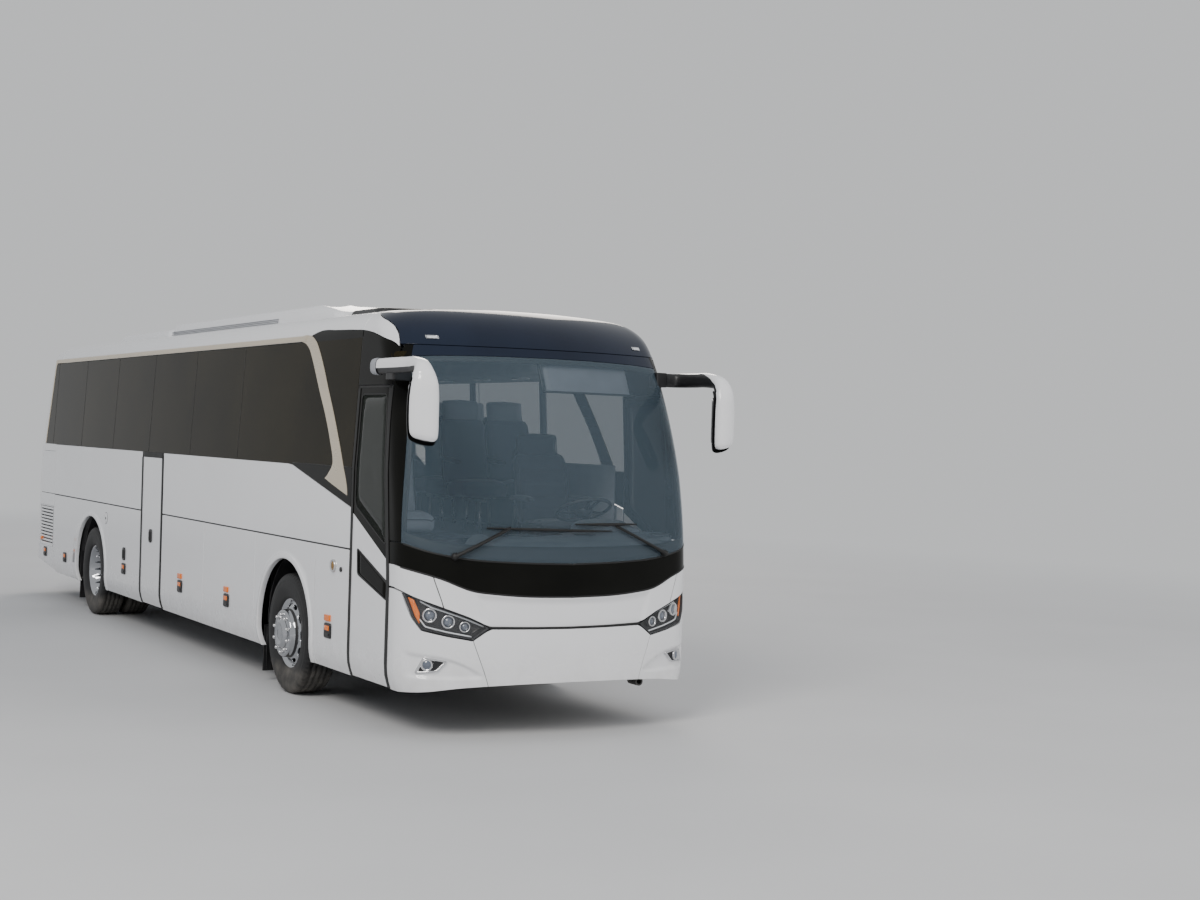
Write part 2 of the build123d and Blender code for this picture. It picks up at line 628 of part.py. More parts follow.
# Roof units: y front, y rear, half width, top, front slope, rear slope
ROOF_UNITS = (
    (-4740, -4060, 600, 3340, 120, 20),
    (-3960, -3230, 740, 3380, 40, 20),
    (-3200, 1950, 820, 3455, 380, 30),
    (1990, 4250, 820, 3410, 30, 250),
    (4330, 5650, 700, 3345, 100, 300),
)
with BuildPart() as roof_units:
    for y_front, y_rear, unit_half, top_z, slope_front, slope_rear in ROOF_UNITS:
        rising = [(y_front, 3200), (y_front, 3322), (y_front + slope_front, top_z)]
        falling = [(y_rear - slope_rear, top_z), (y_rear, 3322), (y_rear, 3200)]
        add(side_prism(rising + falling, -unit_half, unit_half))
    add(body_block(0, NOSE_SEAM_Y, TAIL_SEAM_Y), mode=Mode.SUBTRACT)
    add(dome_block(TAIL, 0), mode=Mode.SUBTRACT)
roof_units.part.label = "roof_units"
export_step(roof_units.part, "parts/roof_units.step")

# Underframe: platforms, luggage floor, bulkheads, rails over the axles and beams to the bumpers
BAY_FLOOR = (400.0, 440.0)
DECK = (1370.0, 1400.0)
PLATFORM = (900.0, 930.0)
FLOOR_X = 1180.0
BULKHEAD_Y = (-2680.0, 2650.0)
RAIL_X = 400.0
STEP_X = -150.0
# Towing sockets under both ends: x, y of the mouth, way out, z of the bore, inner end and top of the web
TOW_SOCKETS = ((700.0, -6040.0, -1, 375.0, -5900.0, 480.0), (-400.0, 6500.0, 1, 450.0, 6390.0, 560.0))
FRONT_BEAM = ((-950, -5500), (-950, -5925), (-500, -6045), (500, -6045), (950, -5925), (950, -5500))
REAR_BEAM = ((-900, 6380), (-900, 6440), (-500, 6490), (500, 6490), (900, 6440), (900, 6380))
TOW_OUTER_R = 34.0
TOW_BORE_R = 21.0
TOW_LENGTH = 100.0
with BuildPart() as underframe:
    add(block(-FLOOR_X, FLOOR_X, BULKHEAD_Y[0], BULKHEAD_Y[1] + 30, *BAY_FLOOR))
    for wall_y in BULKHEAD_Y:
        add(block(-FLOOR_X, FLOOR_X, wall_y, wall_y + 30, BAY_FLOOR[1], DECK[0]))
    add(block(-FLOOR_X, FLOOR_X, -5500, -4040, 380, 420))
    add(block(STEP_X, FLOOR_X, -4070, -4040, 420, PLATFORM[0]))
    add(block(RAIL_X - 40, RAIL_X + 40, -5500, -4040, 640, 780))
    for sign in (-1, 1):
        add(block(sign * RAIL_X - 40, sign * RAIL_X + 40, -4040, BULKHEAD_Y[0], 640, 780))
        add(block(sign * RAIL_X - 40, sign * RAIL_X + 40, BULKHEAD_Y[1] + 30, 6380, 640, 780))
    for beam_y in (-5500, -5000, -4130):
        add(block(STEP_X, RAIL_X + 40, beam_y, beam_y + 60, 420, 700))
    add(block(-RAIL_X, RAIL_X, -4040, -3980, 640, 700))
    for beam_y in (4230, 6320):
        add(block(-1130, 1130, beam_y, beam_y + 60, 600, 700))
    for bumper_beam, z_from, z_to in ((FRONT_BEAM, 480, 640), (REAR_BEAM, 560, 660)):
        with BuildSketch(Plane.XY.offset(z_from)):
            with BuildLine():
                Polyline(*bumper_beam, close=True)
            make_face()
        extrude(amount=z_to - z_from)
    for socket_x, mouth_y, way, socket_z, web_y, web_top in TOW_SOCKETS:
        with BuildSketch(Plane.XZ.offset(-mouth_y)):
            with Locations((socket_x, socket_z)):
                Circle(TOW_OUTER_R)
        extrude(amount=way * (TOW_LENGTH + 30))
        web_from, web_to = sorted((web_y, mouth_y - way * 40))
        add(block(socket_x - 18, socket_x + 18, web_from, web_to, socket_z + 20, web_top))
        with BuildSketch(Plane.XZ.offset(-mouth_y)):
            with Locations((socket_x, socket_z)):
                Circle(TOW_BORE_R)
        extrude(amount=way * TOW_LENGTH, mode=Mode.SUBTRACT)
underframe.part.label = "underframe"
export_step(underframe.part, "parts/underframe.step")

# Wheel housings: an open half drum over each wheel place, closed on its inner side, and the mud flaps
# The front ones are wider than the arches, for the steered wheels
HOUSING_IN = 545.0
FRONT_HOUSING = (-3370, 545, 650)
MUD_FLAPS = ((1054, 110, BULKHEAD_Y[0] - 12, 520), (964, 200, 4218, 690))
with BuildPart() as wheel_housings:
    for arch_y, arch_z, arch_r in (FRONT_HOUSING, REAR_ARCH):
        for sign in (-1, 1):
            low_x, high_x = sorted((sign * HOUSING_IN, sign * (HALF_WIDTH - WALL - 4)))
            inner_x = sign * (HOUSING_IN + 7)
            with BuildSketch(Plane.YZ.offset(low_x)):
                with Locations((arch_y, arch_z)):
                    Circle(arch_r + 14)
                    Circle(arch_r + 2, mode=Mode.SUBTRACT)
                    with Locations((0, -500)):
                        Rectangle(1600, 1000, mode=Mode.SUBTRACT)
            extrude(amount=high_x - low_x)
            with BuildSketch(Plane.YZ.offset(inner_x - 7)):
                with Locations((arch_y, arch_z)):
                    Circle(arch_r + 2)
                    with Locations((0, -500)):
                        Rectangle(1600, 1000, mode=Mode.SUBTRACT)
                    with Locations((0, 0)):
                        Circle(230, mode=Mode.SUBTRACT)
            extrude(amount=14)
    for sign in (-1, 1):
        for flap_x, flap_half, flap_y, flap_top in MUD_FLAPS:
            low_x, high_x = sign * flap_x - flap_half, sign * flap_x + flap_half
            add(block(low_x, high_x, flap_y, flap_y + 12, 180, flap_top))
wheel_housings.part.label = "wheel_housings"
export_step(wheel_housings.part, "parts/wheel_housings.step")

# Saloon floor: passenger deck, driver's platform and the steps at both doors
ENTRY_STEPS = ((-1170, -930, 420, 480), (-930, -700, 420, 640), (-700, STEP_X, 420, PLATFORM[1]))
MIDDLE_STEPS = (
    (-1170, -960, 440, 500),
    (-960, -800, 440, 800),
    (-800, -640, 440, 1100),
    (-640, -480, 440, DECK[1]),
)
with BuildPart() as saloon_floor:
    add(block(-1205, 1205, -4000, 5950, *DECK))
    add(block(STEP_X, 1190, -5560, -4040, *PLATFORM))
    add(block(STEP_X, 1190, -4040, -4000, PLATFORM[0], DECK[1]))
    for x_from, x_to, z_from, z_to in ENTRY_STEPS:
        add(block(x_from, x_to, -5480, -4790, z_from, z_to))
    add(block(-1150, STEP_X, -4790, -4420, 420, 1160))
    add(block(-1150, STEP_X, -4420, -4000, 790, DECK[1]))
    add(block(-1150, STEP_X, -4420, -4040, 420, 790))
    add(block(-1205, -480, 535, 1303, 1300, 1500), mode=Mode.SUBTRACT)
    for x_from, x_to, z_from, z_to in MIDDLE_STEPS:
        add(block(x_from, x_to, 535, 1303, z_from, z_to))
    for wall_y in (515, 1303):
        add(block(-1170, -480, wall_y, wall_y + 20, 440, DECK[0]))
saloon_floor.part.label = "saloon_floor"
export_step(saloon_floor.part, "parts/saloon_floor.step")

# Axles, knuckles and wheels
AXLE_Z = 522.0
KINGPIN_R = 24.0
EYE_HALF = 60.0
SPINDLE_R = 45.0
with BuildPart() as front_axle:
    with BuildSketch(Plane.YZ.offset(-KINGPIN_X + 40)):
        with Locations((FRONT_AXLE_Y, AXLE_Z)):
            Rectangle(110, 90)
    extrude(amount=2 * (KINGPIN_X - 40))
    for sign in (-1, 1):
        with BuildSketch(Plane.XY.offset(AXLE_Z - EYE_HALF)):
            with Locations((sign * KINGPIN_X, FRONT_AXLE_Y)):
                Circle(62)
        extrude(amount=2 * EYE_HALF)
        low_x, high_x = sign * RAIL_X - 35, sign * RAIL_X + 35
        add(block(low_x, high_x, FRONT_AXLE_Y - 45, FRONT_AXLE_Y + 45, AXLE_Z + 45, 640))
    for sign in (-1, 1):
        with Locations((sign * KINGPIN_X, FRONT_AXLE_Y, AXLE_Z)):
            Cylinder(KINGPIN_R + 0.3, 4 * EYE_HALF, mode=Mode.SUBTRACT)
front_axle.part.label = "front_axle"
export_step(front_axle.part, "parts/front_axle.step")

for side_name, sign in (("right", -1), ("left", 1)):
    with BuildPart() as knuckle:
        for ear_z in (AXLE_Z - EYE_HALF - 35, AXLE_Z + EYE_HALF + 5):
            with BuildSketch(Plane.XY.offset(ear_z)):
                with Locations((sign * KINGPIN_X, FRONT_AXLE_Y)):
                    Circle(50)
                with Locations((sign * (KINGPIN_X + 50), FRONT_AXLE_Y)):
                    Rectangle(100, 80)
            extrude(amount=30)
        with Locations((sign * KINGPIN_X, FRONT_AXLE_Y, AXLE_Z)):
            Cylinder(KINGPIN_R, 2 * EYE_HALF + 40)
        add(side_disc(FRONT_AXLE_Y, AXLE_Z, 105, sign * (KINGPIN_X + 72), sign * (KINGPIN_X + 100)))
        add(side_disc(FRONT_AXLE_Y, AXLE_Z, SPINDLE_R, sign * (KINGPIN_X + 100), sign * (TRACK_X + 115)))
    knuckle.part.label = side_name + "_knuckle"
    export_step(knuckle.part, "parts/" + side_name + "_knuckle.step")

# Half section of the rear axle's casing, with the differential in its middle: x, radius
REAR_CASING = (
    (-1065, 0), (-1065, SPINDLE_R), (-560, SPINDLE_R), (-560, 80), (-190, 80), (-120, 180), (-50, 215),
    (50, 215), (120, 180), (190, 80), (560, 80), (560, SPINDLE_R), (1065, SPINDLE_R), (1065, 0),
)
with BuildPart() as rear_axle:
    with BuildSketch(Plane.XZ.offset(-REAR_AXLE_Y)):
        with BuildLine():
            Polyline(*[(x, AXLE_Z + r) for x, r in REAR_CASING], close=True)
        make_face()
    revolve(axis=Axis((0, REAR_AXLE_Y, AXLE_Z), (1, 0, 0)))
    for sign in (-1, 1):
        low_x, high_x = sign * RAIL_X - 35, sign * RAIL_X + 35
        add(block(low_x, high_x, REAR_AXLE_Y - 45, REAR_AXLE_Y + 45, AXLE_Z + 60, 640))
rear_axle.part.label = "rear_axle"
export_step(rear_axle.part, "parts/rear_axle.step")


def revolved(profile, axle_y, sign):
    """A body of revolution about an axle, from an outline of x, radius on the left side."""
    with BuildPart() as body:
        with BuildSketch(Plane.XZ.offset(-axle_y)):
            with BuildLine():
                Polyline(*[(sign * x, AXLE_Z + r) for x, r in profile], close=True)
            make_face()
        revolve(axis=Axis((0, axle_y, AXLE_Z), (1, 0, 0)))
    return body.part


def tyre_body(centre_x, axle_y, sign):
    """A tyre with round shoulders and a bore that the rim fills, notched for the rim's flanges."""
    half = TYRE_W / 2
    with BuildPart() as tyre:
        with BuildSketch(Plane.XZ.offset(-axle_y)):
            with BuildLine():
                bead = half - 28
                seat_line = ((-bead, NOTCH_R), (-NOTCH_X, NOTCH_R), (-NOTCH_X, RIM_R))
                other_line = ((NOTCH_X, RIM_R), (NOTCH_X, NOTCH_R), (bead, NOTCH_R))
                Polyline(*[(sign * (centre_x + x), AXLE_Z + r) for x, r in (*seat_line, *other_line)])
                for way in (-1, 1):
                    edge = centre_x + way * bead
                    tread = centre_x + way * (half - 24)
                    ThreePointArc(
                        (sign * edge, AXLE_Z + NOTCH_R),
                        (sign * (centre_x + way * half), AXLE_Z + RIM_R + 118),
                        (sign * tread, AXLE_Z + TYRE_R - 12),
                    )
                    Line((sign * tread, AXLE_Z + TYRE_R - 12), (sign * (tread - way * 16), AXLE_Z + TYRE_R))
                left, right = (sign * (centre_x + way * (half - 40)) for way in (-1, 1))
                Line((left, AXLE_Z + TYRE_R), (right, AXLE_Z + TYRE_R))
            make_face()
        revolve(axis=Axis((0, axle_y, AXLE_Z), (1, 0, 0)))
    return tyre.part


# Rim sections as x outwards from the rim's middle, radius: barrel, disc and hub
FRONT_RIM = [
    (-112, 280), (-112, 306), (-98, 306), (-98, 291.7), (98, 291.7), (98, 306), (112, 306), (112, 288),
    (104, 270), (86, 264), (122, 225), (138, 200), (138, 125), (176, 108), (176, 0),
    (166, 0), (166, 46), (-50, 46), (-50, 90), (108, 112), (122, 130), (122, 196), (106, 216), (66, 256),
    (58, 268), (-104, 268),
]
TWIN_RIM = [
    (112, 286), (112, 306), (98, 306), (98, 291.7), (-98, 291.7), (-98, 306), (-112, 306), (-112, 280),
    (-150, 235), (-160, 200), (-170, 200), (-180, 235), (-218, 280), (-218, 306), (-232, 306), (-232, 291.7),
    (-428, 291.7), (-428, 306), (-442, 306), (-442, 268), (-250, 262), (-196, 225), (-178, 190), (-178, 150),
    (-300, 140), (-300, 46), (-14, 46), (-14, 0), (0, 0), (0, 110), (-20, 128), (-150, 150), (-152, 190),
    (-134, 225), (-100, 262), (90, 262), (104, 272),
]
WHEELS = (
    ("front_right", -1, FRONT_AXLE_Y, FRONT_RIM, (TRACK_X,)),
    ("front_left", 1, FRONT_AXLE_Y, FRONT_RIM, (TRACK_X,)),
    ("rear_right", -1, REAR_AXLE_Y, TWIN_RIM, (TRACK_X, TWIN_X)),
    ("rear_left", 1, REAR_AXLE_Y, TWIN_RIM, (TRACK_X, TWIN_X)),
)
for wheel_name, sign, axle_y, rim_profile, tyre_places in WHEELS:
    with BuildPart() as rim:
        add(revolved([(TRACK_X + x, r) for x, r in rim_profile], axle_y, sign))
    rim.part.label = wheel_name + "_rim"
    export_step(rim.part, "parts/" + wheel_name + "_rim.step")
    with BuildPart() as tyres:
        for centre_x in tyre_places:
            add(tyre_body(centre_x, axle_y, sign))
    tyres.part.label = wheel_name + "_tyre"
    export_step(tyres.part, "parts/" + wheel_name + "_tyre.step")

with BuildPart() as engine:
    add(block(-460, 460, 4320, 5900, 790, 1330))
    for sign in (-1, 1):
        add(block(sign * RAIL_X - 40, sign * RAIL_X + 40, 4500, 5700, 780, 790))
engine.part.label = "engine"
export_step(engine.part, "parts/engine.step")

# Cab: dashboard with the steering wheel on its column
WHEEL_HUB = (620, -5350, 1600)
WHEEL_PLANE = Plane(origin=WHEEL_HUB, x_dir=(1, 0, 0), z_dir=(0, 0.42, 0.91))
DASH = [
    (-6200, 1000), (-6200, 1500), (-5720, 1545), (-5480, 1440), (-5450, 1380), (-5560, 930), (-5560, 900),
]
with BuildPart() as dashboard:
    add(side_prism(DASH, -620, 1150))
    add(low_block(NOSE, WALL), mode=Mode.INTERSECT)
    with BuildSketch(WHEEL_PLANE):
        with PolarLocations(0, 2):
            Rectangle(440, 34)
    extrude(amount=12, both=True)
    with BuildSketch(Plane(origin=WHEEL_HUB, x_dir=(0, 0.91, -0.42), z_dir=(1, 0, 0))):
        with Locations((228, 0)):
            Circle(15)
    revolve(axis=Axis(WHEEL_HUB, (0, 0.42, 0.91)))
    with BuildSketch(WHEEL_PLANE):
        Circle(38)
    extrude(amount=-240)
dashboard.part.label = "dashboard"
export_step(dashboard.part, "parts/dashboard.step")


def seat(centre_x, front_y, floor_z, width):
    """A coach seat block on its pedestal: cushion, reclined back and head section."""
    outline = [
        (130, 0), (400, 0), (400, 300), (500, 310), (720, 1180), (610, 1190), (420, 520), (0, 480), (0, 320),
        (130, 300),
    ]
    placed = [(front_y + y, floor_z + z) for y, z in outline]
    with BuildPart() as solid:
        add(side_prism(placed, centre_x - width / 2, centre_x + width / 2))
    return solid.part


SEAT_PITCH = 810.0
FIRST_ROW_Y = -3700.0
ROWS = 11
PAIR_X = 705.0
PAIR_WIDTH = 920.0
with BuildPart() as seats:
    add(seat(620, -5020, PLATFORM[1], 480))
    add(seat(-750, -4822, 1160, 440))
    for row in range(ROWS):
        row_y = FIRST_ROW_Y + row * SEAT_PITCH
        for sign in (-1, 1):
            if sign > 0 or not -200 < row_y < 1300:
                add(seat(sign * PAIR_X, row_y, DECK[1], PAIR_WIDTH))
seats.part.label = "seats"
export_step(seats.part, "parts/seats.step")

# Mirrors: a bar along the side that bends down into a tall head. The one over the door reaches further
# forward and stands on a bracket, the other one leaves the side of the nose
ELBOW_R = 130.0
MIRROR_TOP_Z = 2795.0
MIRRORS = (
    {"bar": ((-1360, -5380), (-1360, -6220)), "head": (-1390, -6455)},
    {"bar": ((1150, -5470), (1360, -5500), (1360, -5960)), "head": (1378, -6195)},
)
MIRROR_BRACKET = [(-1100, -5410), (-1120, -5550), (-1385, -5800), (-1385, -5620)]


def mirror_arm(bar):
    """An oval bar, level along the side and then bent down on an arc."""
    end_x, end_y = bar[-1]
    bend = ELBOW_R * math.sin(math.radians(45))
    with BuildPart() as arm:
        with BuildLine(Plane.XY.offset(MIRROR_TOP_Z)) as arm_path:
            if len(bar) > 2:
                FilletPolyline(*bar, radius=90)
            else:
                Line(*bar)
            ThreePointArc(
                (end_x, end_y, 0), (end_x, end_y - bend, bend - ELBOW_R), (end_x, end_y - ELBOW_R, -ELBOW_R)
            )
            Line((end_x, end_y - ELBOW_R, -ELBOW_R), (end_x, end_y - ELBOW_R, -ELBOW_R - 60))
        with BuildSketch(Plane(origin=arm_path.line @ 0, z_dir=arm_path.line % 0, x_dir=(0, 0, 1))):
            Ellipse(66, 42)
        sweep(path=arm_path.line)
    return arm.part


def mirror_head(centre_x, front_y):
    """A tall shell with a round front and a rim around the glass."""
    with BuildPart() as head:
        with BuildSketch(Plane.XZ.offset(-front_y - 150)):
            with Locations((centre_x, 2465)):
                RectangleRounded(220, 510, 70)
        extrude(amount=150)
        fillet(head.faces().sort_by(Axis.Y)[0].edges(), radius=60)
    return head.part


with BuildPart() as mirrors:
    for mirror_place in MIRRORS:
        add(mirror_arm(mirror_place["bar"]))
        add(mirror_head(*mirror_place["head"]))
    with BuildSketch(Plane.XY.offset(2690)):
        with BuildLine():
            Polyline(*MIRROR_BRACKET, close=True)
        make_face()
    extrude(amount=70)
    add(low_block(NOSE, 0), mode=Mode.SUBTRACT)
mirrors.part.label = "mirrors"
export_step(mirrors.part, "parts/mirrors.step")

# Wipers follow the glass: a thin layer off the nose, cut to the arms and blades, on a boss at each pivot
with BuildPart() as wiper_shapes:
    with BuildSketch(Plane.XZ.offset(5900)):
        for wiper in WIPERS:
            for start, end, width in ((wiper["pivot"], wiper["tip"], 26), (*wiper["blade"], 30)):
                run = Vector(*end) - Vector(*start)
                middle = (Vector(*start) + Vector(*end)) * 0.5
                with Locations((middle.X, middle.Y)):
                    SlotCenterToCenter(run.length, width, rotation=math.degrees(math.atan2(run.Y, run.X)))
    extrude(amount=400)

with BuildPart() as wiper_bosses:
    with BuildSketch(Plane.XZ.offset(5900)):
        for wiper in WIPERS:
            with Locations(wiper["pivot"]):
                Circle(24)
    extrude(amount=400)
    add(low_block(NOSE, -38), mode=Mode.INTERSECT)
    add(low_block(NOSE, 0), mode=Mode.SUBTRACT)

with BuildPart() as wipers:
    add(low_block(NOSE, -34))
    add(low_block(NOSE, -14), mode=Mode.SUBTRACT)
    add(wiper_shapes.part, mode=Mode.INTERSECT)
    add(wiper_bosses.part)
wipers.part.label = "wipers"
export_step(wipers.part, "parts/wipers.step")
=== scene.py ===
# %% [markdown]
# # A touring coach, dressed for its picture
# The solids from the CAD step are the frame: they say where every part is and how it moves.
# Here each visible panel gets its real curve, its seams and its finish.
# A coach body is a few long skins over one form, so most pieces are cut from one surface formula.

import json
import math

import bmesh
import bpy
import numpy as np
from mathutils import Matrix, Vector

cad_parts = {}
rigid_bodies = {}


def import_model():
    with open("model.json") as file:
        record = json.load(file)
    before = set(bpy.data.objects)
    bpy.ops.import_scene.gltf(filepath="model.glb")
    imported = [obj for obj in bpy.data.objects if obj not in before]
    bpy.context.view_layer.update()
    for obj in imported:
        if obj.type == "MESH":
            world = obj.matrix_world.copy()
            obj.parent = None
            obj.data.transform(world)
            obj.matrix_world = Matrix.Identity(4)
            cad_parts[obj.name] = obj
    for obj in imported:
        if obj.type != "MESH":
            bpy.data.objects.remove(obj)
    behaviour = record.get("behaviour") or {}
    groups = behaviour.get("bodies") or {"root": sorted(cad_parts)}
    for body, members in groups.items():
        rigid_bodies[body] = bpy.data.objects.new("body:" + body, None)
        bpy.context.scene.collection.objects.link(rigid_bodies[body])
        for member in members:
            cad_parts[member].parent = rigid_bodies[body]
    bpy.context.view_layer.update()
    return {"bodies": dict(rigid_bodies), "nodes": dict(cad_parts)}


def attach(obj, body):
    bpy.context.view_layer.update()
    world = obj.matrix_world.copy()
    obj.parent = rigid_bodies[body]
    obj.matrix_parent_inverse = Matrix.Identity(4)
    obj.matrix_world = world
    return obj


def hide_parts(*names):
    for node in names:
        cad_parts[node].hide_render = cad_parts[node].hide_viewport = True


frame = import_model()
scene = bpy.context.scene
print("CAD nodes:", len(frame["nodes"]))

# %% [markdown]
# ## Camera
# The photograph was taken from the coach's front right, at the height of a tall tripod, with a normal lens.
# Fitting a camera to wheel centres, roof line and corners gave its place and its three turns.

# %% Camera
YAW, PITCH, ROLL = (math.radians(a) for a in (-29.939, -0.437, 1.720))
CAMERA_PLACE = Vector((-6.616, -18.011, 2.311))
level_right = Vector((math.cos(YAW), math.sin(YAW), 0))
ahead = Vector((-math.sin(YAW), math.cos(YAW), 0)) * math.cos(PITCH) + Vector((0, 0, math.sin(PITCH)))
level_up = level_right.cross(ahead)
camera_right = level_right * math.cos(ROLL) + level_up * math.sin(ROLL)
camera_up = level_up * math.cos(ROLL) - level_right * math.sin(ROLL)
camera_data = bpy.data.cameras.new("camera")
camera_data.sensor_width = 36.0
camera_data.lens = 53.01
camera_data.clip_end = 2000.0
camera = bpy.data.objects.new("camera", camera_data)
scene.collection.objects.link(camera)
turn = Matrix((camera_right, camera_up, -ahead)).transposed()
camera.matrix_world = Matrix.Translation(CAMERA_PLACE) @ turn.to_4x4()
scene.camera = camera

# %% [markdown]
# ## Mesh helpers
# A piece is made of sheets: grids of points, rows by columns.
# Where two sheets share an edge their points are merged, so light runs over the join without a break.
# A thin sheet gets its thickness from Solidify, and its edges are rounded by Bevel, as a pressed panel's are.

# %% Mesh helpers
WELD = 2e-5
BODY_HEART = np.array((0.0, 0.0, 1.8))


def sheet_faces(sheet, first):
    """Four-sided faces between the neighbouring points of one grid."""
    rows, cols = sheet.shape[:2]
    index = first + np.arange(rows * cols).reshape(rows, cols)
    corners = (index[:-1, :-1], index[:-1, 1:], index[1:, 1:], index[1:, :-1])
    return np.stack(corners, -1).reshape(-1, 4)


def turned_outwards(sheet, faces, first, heart):
    """The faces of a sheet, reversed if on the whole they look towards the heart."""
    corners = sheet.reshape(-1, 3)[faces - first]
    normal = np.cross(corners[:, 2] - corners[:, 0], corners[:, 3] - corners[:, 1])
    outwards = np.sum(normal * (corners.mean(1) - np.asarray(heart, float)))
    return faces if outwards >= 0 else faces[:, ::-1]


def piece(
    name, sheets, paint, body="coach", slot=None, stands_for=(), heart=None, wall=0.0, edge=0.0, steps=2
):
    """One object from a list of grids. heart is a point behind an open skin; a closed form needs none.
    wall is the panel's thickness and edge the radius of its rim, in metres. The slot, its own or else its
    finish's, is looked up but not kept on the object."""
    points, faces, first = [], [], 0
    for sheet in sheets:
        points.append(sheet.reshape(-1, 3))
        quads = sheet_faces(sheet, first)
        faces.append(quads if heart is None else turned_outwards(sheet, quads, first, heart))
        first += sheet.shape[0] * sheet.shape[1]
    mesh = bpy.data.meshes.new(name)
    mesh.from_pydata(np.concatenate(points).tolist(), [], np.concatenate(faces).tolist())
    form = bmesh.new()
    form.from_mesh(mesh)
    bmesh.ops.remove_doubles(form, verts=form.verts, dist=WELD)
    bmesh.ops.dissolve_degenerate(form, edges=form.edges, dist=WELD)
    if heart is None:
        bmesh.ops.recalc_face_normals(form, faces=form.faces)
    form.to_mesh(mesh)
    form.free()
    mesh.shade_smooth()
    made = bpy.data.objects.new(name, mesh)
    scene.collection.objects.link(made)
    mesh.materials.append(paint)
    if wall:
        solid = made.modifiers.new("wall", "SOLIDIFY")
        solid.thickness = wall
        solid.offset = -1.0
    if edge:
        rim = made.modifiers.new("rim", "BEVEL")
        rim.width = edge
        rim.segments = steps
        rim.limit_method = "ANGLE"
        rim.angle_limit = math.radians(40)
        rim.harden_normals = True
    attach(made, body)
    if stands_for:
        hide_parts(*stands_for)
    slot = slot or SLOTS[paint.name]
    return made


def box_sheets(low, high, cells=(1, 1, 1)):
    """The six sides of a box as grids, which share their edges."""
    sheets = []
    for axis in range(3):
        u, v = (axis + 1) % 3, (axis + 2) % 3
        grid_u, grid_v = np.meshgrid(
            np.linspace(low[u], high[u], cells[u] + 1), np.linspace(low[v], high[v], cells[v] + 1),
            indexing="ij"
        )
        for place in (low[axis], high[axis]):
            sheet = np.empty(grid_u.shape + (3,))
            sheet[..., axis], sheet[..., u], sheet[..., v] = place, grid_u, grid_v
            sheets.append(sheet)
    return sheets


def tube(path, radius, sides=12, flat=1.0, close=False):
    """A round bar along a path: at each point a ring stands square to the path's direction.
    The ring's first axis is carried along the path, so the bar doesn't twist."""
    path = np.asarray(path, float)
    radius = np.broadcast_to(np.asarray(radius, float), len(path))
    way = np.gradient(path, axis=0)
    if close:
        way = np.roll(path, -1, 0) - np.roll(path, 1, 0)
    way /= np.linalg.norm(way, axis=1, keepdims=True)
    axis = np.cross(way[0], (0.3, 0.2, 1.0))
    first = []
    for direction in way:
        axis = axis - direction * (axis @ direction)
        axis = axis / np.linalg.norm(axis)
        first.append(axis)
    first = np.array(first)
    second = np.cross(way, first)
    angle = np.linspace(0, 2 * np.pi, sides + 1)[None, :, None]
    ring = first[:, None] * np.cos(angle) + second[:, None] * np.sin(angle) * flat
    sheet = path[:, None] + ring * radius[:, None, None]
    if close:
        return [np.concatenate((sheet, sheet[:1]))]
    ends = [np.stack((sheet[i], np.broadcast_to(path[i], sheet[i].shape))) for i in (0, -1)]
    return [sheet, *ends]


def spun(profile, sides=48, axis="x", centre=(0, 0, 0)):
    """A body of revolution: every point of the profile, (along, radius), makes one circle."""
    profile = np.asarray(profile, float)
    angle = np.linspace(0, 2 * np.pi, sides + 1)
    along = np.broadcast_to(profile[:, 0, None], (len(profile), sides + 1))
    cos, sin = profile[:, 1, None] * np.cos(angle), profile[:, 1, None] * np.sin(angle)
    order = {"x": (along, cos, sin), "y": (sin, along, cos), "z": (cos, sin, along)}[axis]
    return [np.stack(order, -1) + np.asarray(centre, float)]


def smooth_line(points):
    """A curve through points (u, value): between two points a cubic with the slopes of the neighbours."""
    u, value = np.array(points, float).T
    slope = np.gradient(value, u)

    def line(at):
        at = np.clip(at, u[0], u[-1])
        i = np.clip(np.searchsorted(u, at) - 1, 0, len(u) - 2)
        run = u[i + 1] - u[i]
        t = (at - u[i]) / run
        rise = value[i] * (1 + 2 * t) * (1 - t) ** 2 + value[i + 1] * t**2 * (3 - 2 * t)
        return rise + run * (slope[i] * t * (1 - t) ** 2 - slope[i + 1] * t**2 * (1 - t))

    return line


# %% [markdown]
# ## The body's form
# Seen from the front, the skirt tucks in on an arc, the side stands upright to the belt, leans in above it,
# and a tight cove leads into the flat crown of the roof. Seen from above, nose and tail are a wide arc with
# round corners. Two numbers find any point on the skin: the height, and the way round from the middle.

# %% The body's form
HALF_WIDTH, SKIRT_Z, BELT_Z, ROOF_Z = 1.275, 0.335, 2.0, 3.310
TUCK_R, TUCK_Z = 0.448, 0.520
LEAN = math.radians(3.37)
COVE_R, COVE_Z, COVE_X, CROWN_R = 0.200, 3.070, 1.01165, 13.0130
NOSE = {"face": -6.165, "way": 1, "upright": 1.1, "dome": 2.96, "lean": 0.47, "plan": 2.95, "corner": 0.33}
TAIL = {"face": 6.585, "way": -1, "upright": 1.0, "dome": 3.1, "lean": 0.45, "plan": 6.0, "corner": 0.22}
COVE_TOP = COVE_Z + COVE_R * math.cos(math.asin(COVE_X / (CROWN_R - COVE_R)))


